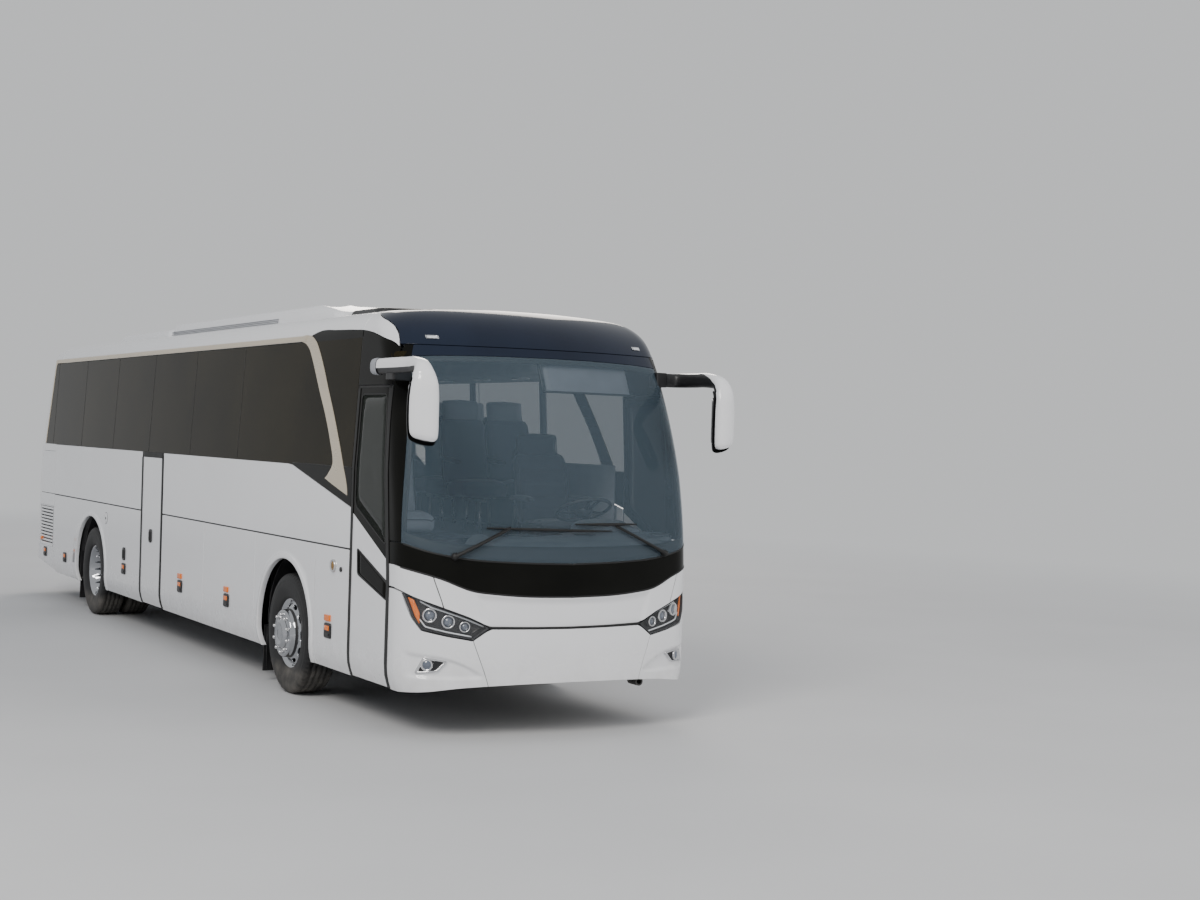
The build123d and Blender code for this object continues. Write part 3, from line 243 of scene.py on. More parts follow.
def half_width(z):
    """Half the width at a height: tuck arc, upright side, leaning side, cove arc, crown arc."""
    tuck = HALF_WIDTH - TUCK_R + np.sqrt(np.maximum(TUCK_R**2 - (TUCK_Z - z) ** 2, 0))
    lean = HALF_WIDTH - (z - BELT_Z) * math.tan(LEAN)
    cove = COVE_X + np.sqrt(np.maximum(COVE_R**2 - (z - COVE_Z) ** 2, 0))
    crown = np.sqrt(np.maximum(2 * CROWN_R * (ROOF_Z - z), 0))
    limits = [z < TUCK_Z, z < BELT_Z, z < COVE_Z + COVE_R * math.sin(LEAN), z <= COVE_TOP]
    return np.select(limits, [tuck, HALF_WIDTH + 0 * z, lean, cove], crown)


def setback(end, z):
    """How far the face leans back at a height: upright, then one arc, then the dome's tighter arc."""
    rise = end["dome"] - end["upright"]
    face_r = (rise**2 + end["lean"] ** 2) / (2 * end["lean"])
    tilt = math.asin(rise / face_r)
    dome_r = (ROOF_Z - end["dome"]) / (1 - math.sin(tilt))
    dome_z = end["dome"] - dome_r * math.sin(tilt)
    arc = face_r - np.sqrt(face_r**2 - (z - end["upright"]) ** 2)
    dome = end["lean"] + dome_r * math.cos(tilt) - np.sqrt(np.maximum(dome_r**2 - (z - dome_z) ** 2, 0))
    return np.select([z < end["upright"], z < end["dome"]], [0 * z, arc], dome)


def plan(end, z):
    """The plan at a height: face radius, corner radius, the corner's centre and where its arc starts."""
    side = half_width(z)
    face_r = end["plan"] - setback(end, z)
    corner_r = np.minimum(end["corner"], 0.55 * side)
    corner_x = side - corner_r
    start = np.arcsin(corner_x / (face_r - corner_r))
    corner_y = -(face_r - corner_r) * np.cos(start)
    return side, face_r, corner_r, corner_x, corner_y, start


def reach(end, z, y):
    """The way round from the middle of the face to a place y on the corner or the side."""
    side, face_r, corner_r, corner_x, corner_y, start = plan(end, z)
    local = (y - end["face"] - end["way"] * end["plan"]) * end["way"]
    turn = np.maximum(np.arccos(np.clip((corner_y - local) / corner_r, 0, 1)), start)
    return face_r * start + corner_r * (turn - start) + np.maximum(local - corner_y, 0)


def skin(end, d, z, inset=0.0):
    """The point d metres round from the middle, at height z: on the face's arc, the corner's arc or the side.
    inset moves it inwards, square to the plan's outline."""
    d, z = np.broadcast_arrays(np.asarray(d, float), np.asarray(z, float))
    side, face_r, corner_r, corner_x, corner_y, start = plan(end, z)
    round_d = np.abs(d)
    face_len, corner_len = face_r * start, corner_r * (np.pi / 2 - start)
    a = np.minimum(round_d / face_r, start)
    b = start + np.clip(round_d - face_len, 0, corner_len) / corner_r
    straight = round_d - face_len - corner_len
    choice = [round_d <= face_len, straight <= 0]
    x = np.select(
        choice, [(face_r - inset) * np.sin(a), corner_x + (corner_r - inset) * np.sin(b)], side - inset
    )
    y = np.select(
        choice, [-(face_r - inset) * np.cos(a), corner_y - (corner_r - inset) * np.cos(b)],
        corner_y + straight
    )
    axis_y = end["face"] + end["way"] * end["plan"]
    return np.stack((np.sign(d) * x, axis_y + end["way"] * y, z), -1)


def samples(count):
    """Places from 0 to 1: evenly spaced for a count, or as listed."""
    return np.linspace(0, 1, count + 1) if isinstance(count, int) else np.asarray(count, float)


def as_lines(*edges):
    """The edges as functions: a number stands for a straight edge, the same everywhere."""
    return [
        edge
        if callable(edge) else lambda other, edge=edge: edge + 0 * np.asarray(other, float)
        for edge in edges
    ]


def patch(end, left, right, low, high, across=24, up=12, field=None):
    """A sheet of the skin between two upright edges, way round as a function of height, and two long edges,
    height as a function of way round. Each needs the other, so both are found by going round a few times.
    field gives the depth of each point behind the skin."""
    left, right, low, high = as_lines(left, right, low, high)
    u, v = np.meshgrid(samples(across), samples(up), indexing="ij")
    z = low(0 * u) + (high(0 * u) - low(0 * u)) * v
    for _ in range(8):
        d = left(z) + (right(z) - left(z)) * u
        z = low(d) + (high(d) - low(d)) * v
    return skin(end, d, z, field(d, z) if field else 0.0)


def middle_patch(end, edge, low, high, *more):
    """A sheet of the skin from an edge on one side to its mirror image on the other."""
    return patch(end, lambda z: -edge(z), edge, low, high, *more)


def side_x(y, z):
    """Half the width at any place y and height z, with the corners of nose and tail taken off."""
    x = half_width(z) + 0 * y
    for end in (NOSE, TAIL):
        side, face_r, corner_r, corner_x, corner_y, start = plan(end, z)
        local = (y - end["face"] - end["way"] * end["plan"]) * end["way"]
        drop = np.sqrt(np.maximum(corner_r**2 - np.minimum(local - corner_y, 0) ** 2, 0))
        x = np.where(local < corner_y, corner_x + drop, x)
    return x


def side_patch(sign, y_low, y_high, low, high, along=12, up=12, lift=0.0):
    """A sheet of the side between two upright edges, y as a function of z, and two long edges, z of y."""
    y_low, y_high, low, high = as_lines(y_low, y_high, low, high)
    u, v = np.meshgrid(samples(along), samples(up), indexing="ij")
    z = low(0 * u) + (high(0 * u) - low(0 * u)) * v
    for _ in range(6):
        y = y_low(z) + (y_high(z) - y_low(z)) * u
        z = low(y) + (high(y) - low(y)) * v
    return np.stack((sign * (side_x(y, z) + lift), y, z), -1)


def moved(line, amount):
    """The line moved by an amount."""
    return lambda other: line(other) + amount


# %% [markdown]
# ## Finishes
# Most finishes share one recipe: a base colour that drifts a little in slow clouds, a roughness that drifts
# with it, and a fine grain in the bump. What differs is how large the clouds are, how deep the grain is,
# and whether there is a clear coat on top. All patterns read the object's own coordinates, so they stay put.

# %% Finishes
def node(tree, kind, links=(), **values):
    """One shader node with its settings, and its inputs linked or filled by name."""
    made = tree.nodes.new(kind)
    for key, value in values.items():
        setattr(made, key, value)
    for key, value in links:
        if isinstance(value, bpy.types.NodeSocket):
            tree.links.new(value, made.inputs[key])
        else:
            made.inputs[key].default_value = value
    return made


def spread(tree, source, low, high):
    """A 0 to 1 pattern spread between two numbers."""
    links = [("Value", source), ("To Min", low), ("To Max", high), ("From Min", 0.3), ("From Max", 0.7)]
    return node(tree, "ShaderNodeMapRange", links).outputs["Result"]


def finish(
    name, colour, rough, metal=0.0, coat=0.0, drift=0.08, cloud=2.0, rough_drift=0.04, grain=0.0,
    grain_size=300.0, alpha=1.0, dust=None, painted_glow=0.0, ior=1.5, sheen=0.0, stretch=(1, 1, 1)
):
    """A procedural finish. colour is linear, drift is its change of tone, cloud and grain_size are patterns
    per metre, and dust is the height below which road dust dulls it. Its glow is painted light: the colour
    shines as an emission, though the part is no lit lamp."""
    paint = bpy.data.materials.new(name)
    paint.use_nodes = True
    tree = paint.node_tree
    shader = tree.nodes["Principled BSDF"]
    place = node(tree, "ShaderNodeTexCoord").outputs["Object"]
    if stretch != (1, 1, 1):
        place = node(tree, "ShaderNodeMapping", [("Vector", place), ("Scale", stretch)]).outputs["Vector"]
    clouds = node(
        tree, "ShaderNodeTexNoise", [("Vector", place), ("Scale", cloud), ("Detail", 4.0)]
    ).outputs["Fac"]
    dark = [c * (1 - drift) for c in colour] + [1]
    light = [min(c * (1 + drift), 1) for c in colour] + [1]
    tone = node(
        tree, "ShaderNodeMix", [("Factor", spread(tree, clouds, 0, 1)), (6, dark), (7, light)],
        data_type="RGBA"
    ).outputs[2]
    roughness = spread(tree, clouds, max(rough - rough_drift, 0.01), rough + rough_drift)
    if dust is not None:
        height = node(tree, "ShaderNodeSeparateXYZ", [("Vector", place)]).outputs["Z"]
        film = node(
            tree, "ShaderNodeMapRange",
            [("Value", height), ("From Min", 0.2), ("From Max", dust), ("To Min", 0.32), ("To Max", 0.0)],
        ).outputs["Result"]
        specks = node(
            tree, "ShaderNodeTexNoise", [("Vector", place), ("Scale", 9.0), ("Detail", 8.0)]
        ).outputs["Fac"]
        film = node(
            tree, "ShaderNodeMath", [(0, film), (1, spread(tree, specks, 0.1, 1.0))], operation="MULTIPLY"
        )
        tone = node(
            tree, "ShaderNodeMix",
            [("Factor", film.outputs[0]), (6, tone), (7, (0.36, 0.33, 0.29, 1))], data_type="RGBA",
        ).outputs[2]
        roughness = node(
            tree, "ShaderNodeMath", [(0, roughness), (1, film.outputs[0])], operation="ADD"
        ).outputs[0]
    tree.links.new(tone, shader.inputs["Base Color"])
    tree.links.new(roughness, shader.inputs["Roughness"])
    if grain:
        fine = node(tree, "ShaderNodeTexNoise", [("Vector", place), ("Scale", grain_size), ("Detail", 2.0)])
        bump = node(
            tree, "ShaderNodeBump",
            [("Height", fine.outputs["Fac"]), ("Strength", grain), ("Distance", 0.001)]
        )
        tree.links.new(bump.outputs["Normal"], shader.inputs["Normal"])
    shader.inputs["Metallic"].default_value = metal
    shader.inputs["Coat Weight"].default_value = coat
    shader.inputs["Coat Roughness"].default_value = 0.03
    shader.inputs["IOR"].default_value = ior
    shader.inputs["Alpha"].default_value = alpha
    shader.inputs["Sheen Weight"].default_value = sheen
    if painted_glow:
        shader.inputs["Emission Color"].default_value = (*colour, 1)
        shader.inputs["Emission Strength"].default_value = painted_glow
    return paint


WHITE = finish(
    "white_lacquer", (0.84, 0.84, 0.85), 0.22, coat=1.0, drift=0.015, cloud=0.7, grain=0.03, grain_size=260,
    dust=0.75
)
DARK = finish(
    "midnight_lacquer", (0.008, 0.013, 0.027), 0.08, drift=0.2, cloud=1.2, grain=0.02, grain_size=260,
    ior=1.35
)
BLACK = finish("black_glass_panel", (0.007, 0.007, 0.006), 0.05, drift=0.2, rough_drift=0.02, ior=1.15)
TRIM = finish(
    "black_moulded_trim", (0.012, 0.012, 0.013), 0.42, drift=0.15, cloud=6, grain=0.25, grain_size=900
)
RUBBER = finish("seal_rubber", (0.010, 0.010, 0.010), 0.6, drift=0.2, cloud=8, grain=0.2, grain_size=700)
DARK_GLASS = finish(
    "privacy_glass", (0.016, 0.013, 0.006), 0.03, drift=0.35, cloud=0.9, rough_drift=0.01, alpha=0.94,
    ior=1.13
)
LEFT_GLASS = finish(
    "tinted_glass", (0.016, 0.013, 0.006), 0.03, drift=0.35, cloud=0.9, rough_drift=0.01, alpha=0.55, ior=1.13
)
BRASS = finish(
    "aged_brass", (0.42, 0.24, 0.07), 0.26, metal=0.92, drift=0.12, cloud=20, grain=0.1, grain_size=1200
)
SATIN = finish(
    "champagne_satin", (0.72, 0.63, 0.49), 0.28, metal=0.80, drift=0.06, cloud=5, grain=0.1, grain_size=1200,
    stretch=(1, 0.05, 1)
)
CHROME = finish("bright_chrome", (0.70, 0.70, 0.71), 0.06, metal=1.0, drift=0.02, rough_drift=0.02)
ALLOY = finish(
    "polished_alloy", (0.46, 0.47, 0.49), 0.09, metal=1.0, drift=0.05, cloud=10, grain=0.06, grain_size=700
)
STEEL = finish(
    "brushed_steel", (0.52, 0.52, 0.52), 0.3, metal=1.0, drift=0.08, cloud=10, grain=0.1, grain_size=900
)
TYRE = finish(
    "tyre_rubber", (0.006, 0.006, 0.0065), 0.60, drift=0.25, cloud=7, grain=0.35, grain_size=500, dust=0.28
)
CHASSIS = finish(
    "chassis_black", (0.016, 0.016, 0.017), 0.5, drift=0.3, cloud=5, grain=0.3, grain_size=200, dust=0.9
)
FLOOR = finish("speckled_vinyl", (0.10, 0.10, 0.11), 0.5, drift=0.3, cloud=60, grain=0.15, grain_size=400)
CASTING = finish(
    "engine_casting", (0.10, 0.10, 0.10), 0.6, metal=0.4, drift=0.3, cloud=12, grain=0.6, grain_size=160
)
DASH = finish("dash_skin", (0.11, 0.13, 0.15), 0.55, drift=0.12, cloud=4, grain=0.5, grain_size=650)
LINING = finish("saloon_lining", (0.30, 0.31, 0.33), 0.7, drift=0.08, cloud=5, grain=0.3, grain_size=500)
FABRIC = finish(
    "seat_moquette", (0.045, 0.055, 0.075), 0.85, drift=0.3, cloud=90, grain=0.8, grain_size=1400, sheen=0.3
)
FABRIC_DARK = finish(
    "driver_moquette", (0.020, 0.022, 0.027), 0.85, drift=0.3, cloud=90, grain=0.8, grain_size=1400, sheen=0.2
)
LEATHER_BLACK = finish(
    "black_leather", (0.018, 0.018, 0.019), 0.45, drift=0.15, cloud=20, grain=0.6, grain_size=700
)
LEATHER = finish("grey_leatherette", (0.20, 0.22, 0.25), 0.5, drift=0.1, cloud=6, grain=0.6, grain_size=420)
# The amber lenses, reflectors and buttons get a faint painted glow: their colour shines as light, though no
# lamp in them is lit.
AMBER = finish(
    "amber_lens", (0.80, 0.17, 0.006), 0.12, coat=0.3, drift=0.12, cloud=40, grain=0.3, grain_size=220,
    painted_glow=0.06
)
RED = finish(
    "red_lens", (0.45, 0.008, 0.008), 0.12, coat=1.0, drift=0.15, cloud=30, grain=0.4, grain_size=180
)
CLEAR = finish("clear_lens", (0.75, 0.77, 0.80), 0.03, drift=0.02, rough_drift=0.01, alpha=0.05)
LIGHT_LENS = finish(
    "white_lens", (0.72, 0.74, 0.76), 0.08, coat=1.0, drift=0.06, cloud=60, grain=0.4, grain_size=260
)
PROJECTOR = finish(
    "projector_glass", (0.10, 0.12, 0.16), 0.04, coat=1.0, drift=0.2, cloud=30, rough_drift=0.01, ior=1.7
)


def tinted_glass(name, tint, veil):
    """Clear glass as a see-through sheet: more of it reflects at a glancing angle."""
    glass = finish(name, tint, 0.02, drift=0.03, cloud=0.8, rough_drift=0.005, ior=1.5)
    tree = glass.node_tree
    rim = node(tree, "ShaderNodeLayerWeight", [("Blend", 0.25)]).outputs["Fresnel"]
    links = [("Value", rim), ("From Min", 0.0), ("From Max", 0.7), ("To Min", veil), ("To Max", 0.95)]
    see = node(tree, "ShaderNodeMapRange", links).outputs["Result"]
    tree.links.new(see, tree.nodes["Principled BSDF"].inputs["Alpha"])
    return glass


SCREEN = tinted_glass("windscreen_glass", (0.14, 0.20, 0.25), 0.28)
CAB_GLASS = tinted_glass("cab_glass", (0.03, 0.035, 0.030), 0.45)

# %% The slot that goes with each finish, unless a piece names its own
FINISH_SLOTS = {
    WHITE: "white_paint", DARK: "dark_paint", BLACK: "black_frame", TRIM: "black_plastic",
    RUBBER: "black_plastic", BRASS: "satin_metal", SATIN: "satin_metal", CHROME: "polished_metal",
    ALLOY: "polished_metal", STEEL: "polished_metal", TYRE: "tyre", DASH: "cab_plastic",
    LINING: "cab_plastic", FABRIC: "seat_fabric", FABRIC_DARK: "seat_fabric", LEATHER_BLACK: "seat_fabric",
    LEATHER: "seat_fabric", AMBER: "red_lamp", RED: "red_lamp", CLEAR: "lamp_glass", LIGHT_LENS: "lamp_glass",
    PROJECTOR: "lamp_glass", SCREEN: "clear_glass", CAB_GLASS: "dark_glass",
}
SLOTS = {paint.name: slot for paint, slot in FINISH_SLOTS.items()}

# %% Finishes of the CAD parts that stay
NODE_FINISH = {
    "right_glass": DARK_GLASS, "left_glass": LEFT_GLASS, "rear_window": DARK_GLASS, "underframe": CHASSIS,
    "wheel_housings": TRIM, "saloon_floor": FLOOR, "front_axle": CHASSIS, "rear_axle": CHASSIS,
    "engine": CASTING, "left_knuckle": CHASSIS, "right_knuckle": CHASSIS, "front_door_arm": STEEL,
    "middle_door_arm": STEEL,
}
for part_name, paint in NODE_FINISH.items():
    materials = frame["nodes"][part_name].data.materials
    materials.clear()
    materials.append(paint)

# %% [markdown]
# ## Light and ground
# The photograph has a low sun from behind on the right and a bright open sky. Soft large lamps stand in for
# both. Pale ground runs into a pale backdrop, and it keeps the coach's shadow.

# %% Light and ground
def lamp(name, place, target, size, power, colour=(1, 1, 1), mirrored_in_glass=True):
    """A square area lamp that looks at a target."""
    data = bpy.data.lights.new(name, "AREA")
    data.size, data.energy, data.color = size, power, colour
    made = bpy.data.objects.new(name, data)
    made.matrix_world = Matrix.Translation(place) @ (
        Vector(target) - Vector(place)
    ).to_track_quat("-Z", "Y").to_matrix().to_4x4()
    made.visible_glossy = mirrored_in_glass
    scene.collection.objects.link(made)


lamp("key", (-14, -16, 15), (0, -2, 1.4), 9, 3300, (1.0, 0.97, 0.93))
lamp("fill", (13, -18, 7), (0, -3, 1.4), 10, 1300, (1.0, 0.97, 0.93), False)
lamp("rim", (10, 16, 14), (0, 0, 2), 10, 1500, (1.0, 0.93, 0.85))

BACKDROP = (0.66, 0.67, 0.68, 1)
world = bpy.data.worlds.new("sky")
world.use_nodes = True
sky = world.node_tree
rays = node(sky, "ShaderNodeLightPath")
seen = node(
    sky, "ShaderNodeMath", [(0, rays.outputs["Is Camera Ray"]), (1, rays.outputs["Is Glossy Ray"])],
    operation="MAXIMUM"
)
seen = node(
    sky, "ShaderNodeMath", [(0, seen.outputs[0]), (1, rays.outputs["Is Transmission Ray"])],
    operation="MAXIMUM"
)
tone = node(
    sky, "ShaderNodeMix", [("Factor", seen.outputs[0]), (6, (0.50, 0.53, 0.58, 1)), (7, BACKDROP)],
    data_type="RGBA"
)
sky.links.new(tone.outputs[2], sky.nodes["Background"].inputs["Color"])
scene.world = world

GROUND = finish("pale_ground", (0.60, 0.60, 0.60), 0.8, drift=0.03, cloud=0.4, grain=0.1, grain_size=40)
tree = GROUND.node_tree
flat = node(
    tree, "ShaderNodeMapping",
    [("Vector", node(tree, "ShaderNodeTexCoord").outputs["Object"]), ("Scale", (1, 0.7, 0))]
)
distance = node(
    tree, "ShaderNodeVectorMath", [(0, flat.outputs["Vector"])], operation="LENGTH"
).outputs["Value"]
far = node(
    tree, "ShaderNodeMapRange", [("Value", distance), ("From Min", 8.0), ("From Max", 22.0)],
    interpolation_type="SMOOTHSTEP"
)
haze = node(tree, "ShaderNodeEmission", [("Color", BACKDROP)])
blend = node(
    tree, "ShaderNodeMixShader",
    [(0, far.outputs["Result"]), (1, tree.nodes["Principled BSDF"].outputs[0]), (2, haze.outputs[0])]
)
tree.links.new(blend.outputs[0], tree.nodes["Material Output"].inputs["Surface"])
ground_grid = np.stack(
    np.meshgrid(np.linspace(-90, 90, 25), np.linspace(-60, 120, 25), indexing="ij") + [np.zeros((25, 25))], -1
)
ground_mesh = bpy.data.meshes.new("ground")
ground_mesh.from_pydata(ground_grid.reshape(-1, 3).tolist(), [], sheet_faces(ground_grid, 0).tolist())
ground_mesh.materials.append(GROUND)
ground = bpy.data.objects.new("ground", ground_mesh)
scene.collection.objects.link(ground)

# %% [markdown]
# ## The nose
# Every seam of the nose is a line in two numbers, the way round and the height. A line across is given by
# points of half width and height, and an edge that runs upwards by the same points.

# %% Lines of the nose
GAP = 0.0035


def way_at(end, x, z):
    """The way round to a half width x at height z, on the face's arc or on the corner's."""
    side, face_r, corner_r, corner_x, corner_y, start = plan(end, z)
    turn = np.arcsin(np.clip((x - corner_x) / corner_r, -1, 1))
    on_corner = face_r * start + corner_r * (turn - start)
    return np.where(x <= face_r * np.sin(start), face_r * np.arcsin(np.minimum(x / face_r, 1)), on_corner)


def bent(points):
    """A line of straight runs through points (u, value)."""
    u, value = np.array(points, float).T
    return lambda other: np.interp(other, u, value)


def upright(points, kind=smooth_line):
    """An edge that runs upwards on the nose through points (half width, height)."""
    return kind([(z, float(way_at(NOSE, x, z))) for x, z in points])


def level(points, kind=smooth_line):
    """A line across the nose through points (half width, height), the same on both sides."""
    line = kind([(float(way_at(NOSE, x, z)), z) for x, z in points])
    return lambda d: line(np.abs(d))


def door_front(z):
    """The way round to the front edge of the door, or of the cab panel on the other side."""
    return reach(NOSE, z, np.interp(z, [0.3, 1.15, 2.64, 3.0], [-5.575, -5.575, -5.426, -5.39]))


screen_low = level(
    [(0, 1.324), (0.51, 1.338), (0.80, 1.356), (1.03, 1.392), (1.11, 1.41), (1.20, 1.44), (1.257, 1.469)]
)
print_low = level([(0, 1.455), (0.5, 1.46), (0.9, 1.475), (1.1, 1.50), (1.257, 1.56)])
screen_top = level([(0, 2.911), (0.6, 2.905), (0.9, 2.897), (1.095, 2.885)])
screen_side = upright(
    [(1.256, 1.30), (1.257, 1.469), (1.217, 2.114), (1.14, 2.648), (1.095, 2.882), (1.06, 2.99)]
)
black_low = level(
    [
        (0, 1.074), (0.435, 1.085), (0.60, 1.098), (0.79, 1.122), (1.035, 1.215), (1.10, 1.235),
        (1.20, 1.265), (1.2749, 1.30)
    ]
)
mask_low = level(
    [(0, 0.838), (0.3, 0.840), (0.655, 0.846), (0.826, 0.925), (1.004, 0.990), (1.09, 1.022), (1.254, 1.103)],
    bent
)
cheek_low = level([(0.98, 0.980), (1.004, 0.990), (1.09, 1.022), (1.254, 1.103), (1.2749, 1.125)], bent)
bumper_top = level(
    [(0, 0.830), (0.3, 0.832), (0.655, 0.835), (0.784, 0.745), (0.97, 0.778), (1.15, 0.82), (1.209, 0.914),
     (1.256, 1.100), (1.2749, 1.118)], bent,
)
crease = upright([(0.690, 0.83), (0.717, 0.90), (0.766, 1.085), (0.79, 1.2)])
cheek_seam = upright([(0.98, 0.90), (1.004, 1.002), (1.072, 1.201), (1.10, 1.3)])
bumper_low = level([(0, 0.417), (0.5, 0.408), (0.9, 0.385), (1.1, 0.36), (1.234, 0.338)])
bumper_seam = upright([(0.640, 0.33), (0.667, 0.428), (0.78, 0.742), (0.80, 0.8)])
sweep = level([(0.66, 0.470), (0.699, 0.490), (0.898, 0.591), (0.965, 0.612), (1.15, 0.640), (1.26, 0.655)])
lip = level([(0.66, 0.462), (0.80, 0.452), (1.0, 0.455), (1.2, 0.462)])

# %% [markdown]
# The mask's middle lies a little deeper than its sides, behind a narrow chamfer, and so do the fields
# around the fog lamps.

# %% Mask and bumper
def mask_depth(d, z):
    """Depth of the mask's middle: 16 mm clip(inside / 20 mm), where inside is the way in from its border."""
    inside = np.minimum(crease(z) - 0.004 - np.abs(d), black_low(d) - 0.020 - z)
    return 0.016 * np.clip(inside / 0.020, 0, 1)


def bumper_depth(d, z):
    """Depth of the fog lamp's field: 18 mm clip(inside / 22 mm), and both ends run out over 50 mm."""
    inside = np.minimum(sweep(d) - z, z - lip(d))
    ends = (
        np.clip((np.abs(d) - bumper_seam(z) - 0.01) / 0.05, 0, 1)
        * np.clip((way_at(NOSE, 1.24, z) - np.abs(d)) / 0.05, 0, 1)
    )
    return 0.018 * np.clip(inside / 0.022, 0, 1) * ends


def both(*sheets):
    """Sheets with their mirror images."""
    return [*sheets, *(sheet * (-1, 1, 1) for sheet in sheets)]


def strip(name, sheets, paint, **more):
    """A thin strip or pane that lies on the body and looks outwards."""
    return piece(name, sheets, paint, heart=BODY_HEART, **more)


def shell(name, sheets, paint, **more):
    """A body panel: a thin wall behind the skin, with rounded edges."""
    return piece(name, sheets, paint, **{"heart": BODY_HEART, "wall": 0.022, "edge": 0.003, **more})


chamfer_u = [0, 0.005, 0.02, 0.035, *np.linspace(0.06, 0.94, 24), 0.965, 0.98, 0.995, 1]
mask_middle = middle_patch(NOSE, crease, moved(mask_low, GAP), moved(black_low, -GAP), chamfer_u,
    [0, 0.25, 0.5, 0.7, 0.83, 0.91, 0.95, 1], mask_depth,
)
mask_side = patch(
    NOSE, crease, moved(cheek_seam, -GAP), moved(mask_low, GAP), moved(black_low, -GAP), 14,
    [0, 0.25, 0.5, 0.7, 0.83, 0.91, 0.95, 1], mask_depth,
)
shell("mask", [mask_middle, *both(mask_side)], WHITE, stands_for=["front_mask"])
corner = patch(
    NOSE, moved(cheek_seam, GAP), moved(door_front, -GAP), moved(cheek_low, GAP), moved(black_low, -GAP), 16,
    6
)
shell("corner_panels", both(corner), WHITE)
bumper_middle = middle_patch(NOSE, moved(bumper_seam, -0.002), bumper_low, moved(bumper_top, -GAP), 40, 14
)
bumper_side = patch(
    NOSE, moved(bumper_seam, 0.002), moved(door_front, -GAP), bumper_low, moved(bumper_top, -GAP), 48, 40,
    bumper_depth
)
shell("bumper", [bumper_middle, *both(bumper_side)], WHITE, stands_for=["front_bumper"])

# %% Black panel, pillars and header
CAP_Z = 2.985
wiper_panel = middle_patch(NOSE, door_front, moved(black_low, 0.002), moved(screen_low, -GAP), 72, 8)
shell("wiper_panel_skin", [wiper_panel], BLACK, stands_for=["wiper_panel"], slot="black_gloss")
post = patch(
    NOSE, moved(screen_side, GAP), moved(door_front, -GAP), moved(screen_low, GAP), CAP_Z - 0.005, 10, 30
)
header = middle_patch(NOSE, moved(screen_side, GAP), moved(screen_top, GAP), CAP_Z - 0.005, 48, 2)
shell("screen_posts", both(post), BLACK, stands_for=["front_frame"])
shell("screen_header", [header], DARK)

# %% Windscreen
pane = middle_patch(NOSE, screen_side, screen_low, screen_top, 72, 30)
strip("windscreen_pane", [pane], SCREEN, stands_for=["windscreen"])
band_low = middle_patch(NOSE, screen_side, screen_low, print_low, 72, 3, lambda d, z: 0.004 + 0 * d)
band_top = middle_patch(
    NOSE, screen_side, moved(screen_top, -0.045), screen_top, 72, 2, lambda d, z: 0.004 + 0 * d
)
band_side = patch(
    NOSE, moved(screen_side, -0.05), screen_side, print_low, moved(screen_top, -0.045), 3, 24,
    lambda d, z: 0.004 + 0 * d
)
strip("screen_print", [band_low, band_top, *both(band_side)], RUBBER, slot="black_frame", wall=0.003)

# %% [markdown]
# ## Cap, roof and cove
# The dome over the windscreen is dark, and a white cheek sweeps down beside it from the cove.

# %% Cap, roof and cove
dome_edge = smooth_line(
    [
        (2.97, -5.368), (2.99, -5.358), (3.032, -5.334), (3.113, -5.257), (3.165, -5.156), (3.199, -5.043),
        (3.24, -4.90), (3.27, -4.779), (3.31, -4.779)
    ]
)
cheek_top = smooth_line(
    [
        (-5.368, 2.965), (-5.358, 2.99), (-5.334, 3.032), (-5.257, 3.113), (-5.156, 3.165), (-5.043, 3.199),
        (-4.90, 3.24), (-4.779, 3.27)
    ]
)
cheek_bottom = smooth_line(
    [(-5.372, 2.962), (-5.34, 2.985), (-5.202, 3.033), (-5.013, 3.078), (-4.853, 3.102), (-4.77, 3.109)]
)
roof_low = smooth_line(
    [
        (-4.775, 3.109), (-4.5, 3.121), (-4.186, 3.130), (-3.80, 3.135), (-3.62, 3.105), (-3.50, 3.075),
        (-3.40, 3.058), (-3.32, 3.056), (-3.2, 3.056), (0.0, 3.056), (5.45, 3.056)
    ]
)
TO_CROWN = 1 - (1 - np.linspace(0, 1, 44)) ** 2


def closed_crown(sheet):
    """The sheet with its top row brought to the middle of the roof."""
    sheet[:, -1, 0] = 0
    return sheet


dome = patch(
    NOSE, 0.0, lambda z: reach(NOSE, z, dome_edge(z)) - 0.003, CAP_Z, ROOF_Z - 1e-6, 44, TO_CROWN
)
shell("dome", both(closed_crown(dome)), DARK, stands_for=["front_cap"])
cheek = side_patch(1, -5.364, -4.778, cheek_bottom, moved(cheek_top, -0.004), 24, 10)
shell("cove_cheeks", both(cheek), WHITE)
ALONG_ROOF = np.concatenate((np.linspace(0, 0.14, 22), np.linspace(0.16, 1, 15)))
crown_half = side_patch(1, -4.772, 5.437, roof_low, ROOF_Z, ALONG_ROOF, TO_CROWN)
shell("roof_skin", both(crown_half), WHITE, stands_for=["roof"])
print("nose, cap and roof ready")

# %% [markdown]
# ## The sides
# A side panel is a patch between two upright edges and two long ones. Openings with round corners are rings
# between two closed outlines, laid on the side by the same formula.

# %% Outlines and rings
def outline(corners, radius=0.0, cells=6, steps=4):
    """A closed line through corners: each is rounded by a curve that starts a radius before it, and the
    straight runs between them are divided into cells."""
    corners = np.asarray(corners, float)
    radius = np.broadcast_to(np.asarray(radius, float), len(corners))
    before, after = np.roll(corners, 1, 0) - corners, np.roll(corners, -1, 0) - corners
    before /= np.linalg.norm(before, axis=1, keepdims=True)
    after /= np.linalg.norm(after, axis=1, keepdims=True)
    start, end = corners + before * radius[:, None], corners + after * radius[:, None]
    t = np.linspace(0, 1, steps + 1)[:, None]
    w = np.linspace(0, 1, cells + 1)[1:-1, None]
    line = []
    for i, corner_point in enumerate(corners):
        line.append((1 - t) ** 2 * start[i] + 2 * t * (1 - t) * corner_point + t**2 * end[i])
        line.append(end[i] * (1 - w) + start[(i + 1) % len(corners)] * w)
    line.append(line[0][:1])
    return np.concatenate(line)


